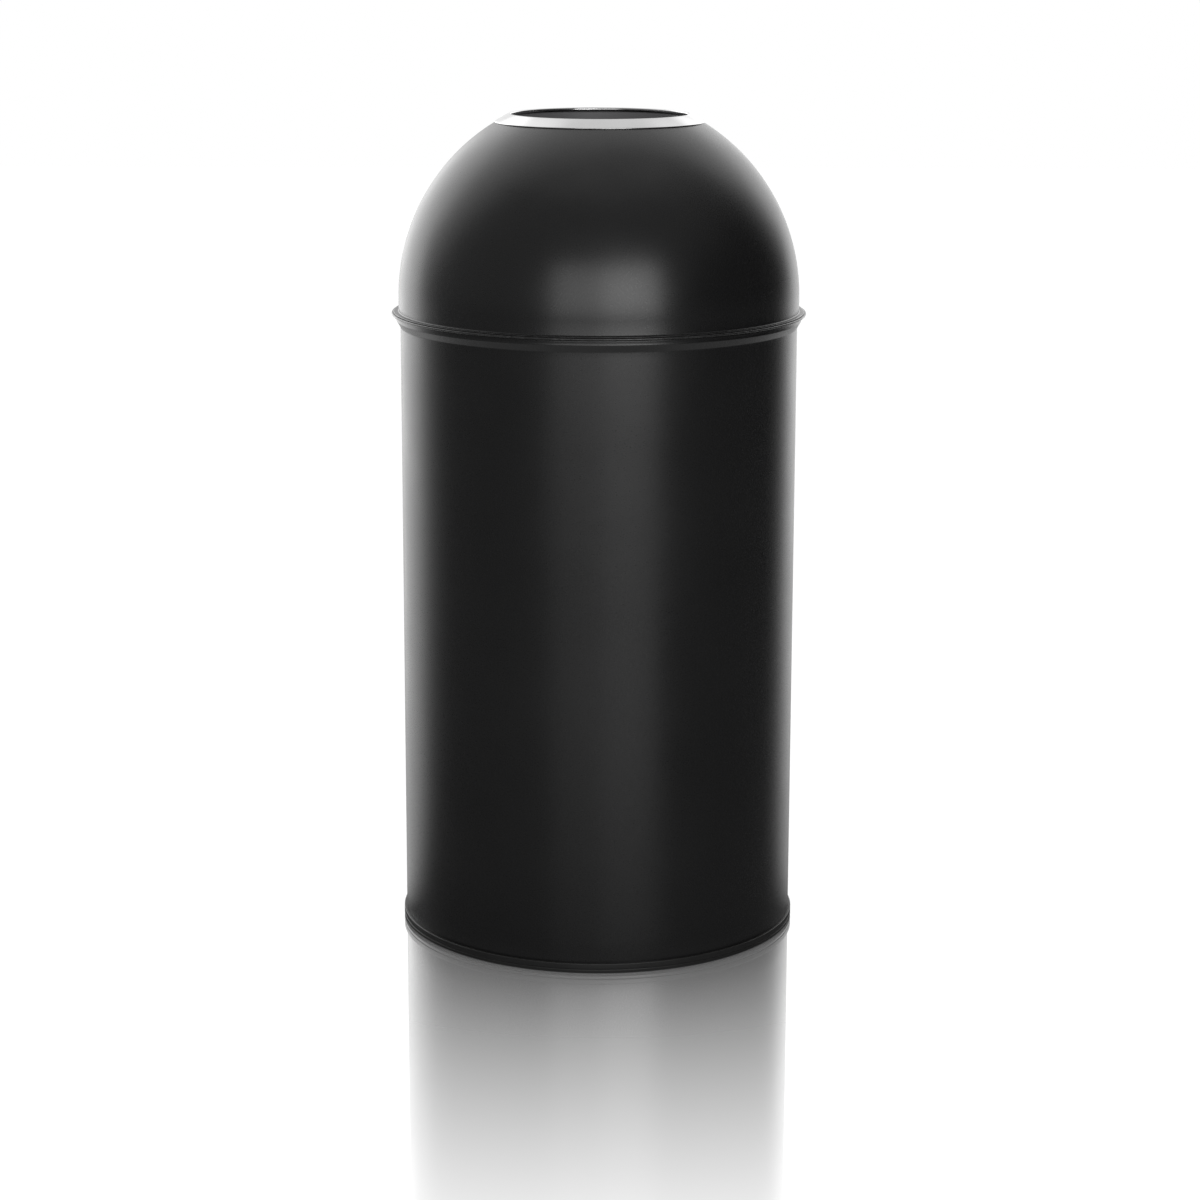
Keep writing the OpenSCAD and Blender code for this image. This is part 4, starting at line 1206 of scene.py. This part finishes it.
def makeFloor(wanted):
    material = bpy.data.materials.new("floor")
    material.use_nodes = True
    tree = material.node_tree
    tree.nodes.clear()
    place = tree.nodes.new("ShaderNodeTexCoord").outputs["Object"]
    forCamera = tree.nodes.new("ShaderNodeLightPath").outputs["Is Camera Ray"]
    away = addNode(tree, "ShaderNodeVectorMath", {0: place}, operation="LENGTH").outputs["Value"]
    # the camera sees a pale floor, with a mirror image that fades away from the object
    shine = addRange(tree, away, wanted["mirrorNear"], wanted["mirrorFar"], wanted["mirrorMost"], 0.0,
                     "LINEAR")
    shine = times(tree, shine, forCamera)
    pale = addNode(tree, "ShaderNodeBsdfDiffuse", {"Color": grey(wanted["floorPale"])}).outputs[0]
    lift = addNode(tree, "ShaderNodeEmission", {"Strength": wanted["floorLift"]}).outputs[0]
    lit = addNode(tree, "ShaderNodeAddShader", {0: pale, 1: lift}).outputs[0]
    mirror = addNode(tree, "ShaderNodeBsdfGlossy", {"Color": grey(1.0), "Roughness": 0.0}).outputs[0]
    seen = addNode(tree, "ShaderNodeMixShader", {0: shine, 1: lit, 2: mirror}).outputs[0]
    # what the object itself reflects is a darker floor with a soft sheen
    slant = addNode(tree, "ShaderNodeLayerWeight", {"Blend": 0.5}).outputs["Facing"]
    steep = addRange(tree, slant, wanted["steepFull"], wanted["steepEnd"], 1.0, 0.0)
    tone = addMix(tree, steep, grey(wanted["floorFar"]), grey(wanted["floorSteep"]))
    far = addNode(tree, "ShaderNodeBsdfDiffuse", {"Color": tone}).outputs[0]
    sheen = addRange(tree, away, wanted["sheenNear"], wanted["sheenFar"], wanted["sheenLeast"],
                     wanted["sheenMost"], "LINEAR")
    depth = addNode(tree, "ShaderNodeSeparateXYZ", {0: place}).outputs[1]
    behind = addRange(tree, addMath(tree, "DIVIDE", depth, away), *wanted["sheenBehind"])
    back = addRange(tree, slant, *wanted["sheenSlant"], wanted["sheenSteep"], wanted["sheenBack"], "LINEAR")
    sheen = addMath(tree, "MAXIMUM", sheen, times(tree, back, behind))
    soft = addNode(tree, "ShaderNodeBsdfGlossy", {
        "Color": grey(1.0), "Roughness": wanted["sheenRoughness"]}).outputs[0]
    reflected = addNode(tree, "ShaderNodeMixShader", {0: sheen, 1: far, 2: soft}).outputs[0]
    mixed = addNode(tree, "ShaderNodeMixShader", {0: forCamera, 1: reflected, 2: seen}).outputs[0]
    tree.links.new(mixed, addNode(tree, "ShaderNodeOutputMaterial").inputs[0])
    half = wanted["floorHalf"]
    mesh = bpy.data.meshes.new("floor")
    corners = [(x * half, y * half, -wanted["floorDrop"]) for x, y in ((-1, -1), (1, -1), (1, 1), (-1, 1))]
    mesh.from_pydata(corners, [], [(0, 1, 2, 3)])
    mesh.materials.append(material)
    floor = newObject("floor", mesh)


def makeWorld(wanted, glows):
    world = bpy.data.worlds.new("studio")
    bpy.context.scene.world = world
    world.use_nodes = True
    tree = world.node_tree
    rays = tree.nodes.new("ShaderNodeLightPath").outputs
    direction = tree.nodes.new("ShaderNodeTexCoord").outputs["Generated"]
    glow = 0.0
    for brightness, *degrees in glows.values():
        azimuth, elevation, full, end = [math.radians(a) for a in degrees]
        way = (math.sin(azimuth) * math.cos(elevation), math.cos(azimuth) * math.cos(elevation),
               math.sin(elevation))
        match = addNode(tree, "ShaderNodeVectorMath", {0: direction, 1: way},
                        operation="DOT_PRODUCT").outputs["Value"]
        cone = addRange(tree, match, math.cos(end), math.cos(full), 0.0, brightness)
        glow = addMath(tree, "MAXIMUM", cone, glow)
    world.cycles.sampling_method = "NONE"  # or the lamps' sampling would miss what only glossy rays see
    white = addMath(tree, "MAXIMUM", rays["Is Singular Ray"], rays["Is Transmission Ray"])
    white = addMath(tree, "MAXIMUM", rays["Is Camera Ray"], white)
    seen = times(tree, glow, rays["Is Glossy Ray"])
    hidden = times(tree, wanted["ambient"], minus(tree, 1.0, rays["Is Glossy Ray"]))
    level = addMath(tree, "MAXIMUM", white, plus(tree, seen, hidden))
    background = tree.nodes["Background"].inputs
    background["Color"].default_value = (1, 1, 1, 1)
    tree.links.new(level, background["Strength"])


softboxSet = {
    # azimuths from the front, towards +X; a panel's level is its own brightness
    "keySoftbox": {"fromDeg": 3, "toDeg": 33, "low": 0.32, "high": 1.85, "distance": 3.0, "level": 4.0},
    "fillSoftbox": {"fromDeg": -26, "toDeg": 3, "low": 0.32, "high": 1.85, "distance": 3.0, "level": 2.0},
}


def addSoftbox(name, wanted):
    # an upright panel that stands across its middle direction
    middle = math.radians((wanted["fromDeg"] + wanted["toDeg"]) / 2)
    half = math.radians((wanted["toDeg"] - wanted["fromDeg"]) / 2)
    width, height = 2 * wanted["distance"] * math.tan(half), wanted["high"] - wanted["low"]
    data = bpy.data.lights.new(name, "AREA")
    data.shape = "RECTANGLE"
    data.size = width
    data.size_y = height
    data.energy = wanted["level"] * math.pi * width * height
    lamp = newObject(name, data)
    lamp.location = (wanted["distance"] * math.sin(middle), -wanted["distance"] * math.cos(middle),
                     (wanted["low"] + wanted["high"]) / 2)
    lamp.rotation_euler = (math.pi / 2, 0, middle)
    lamp.visible_camera = False


makeFloor(stageSet)
makeWorld(stageSet, glowSet)
for softboxName, softboxValues in softboxSet.items():
    addSoftbox(softboxName, softboxValues)
print("stage made")
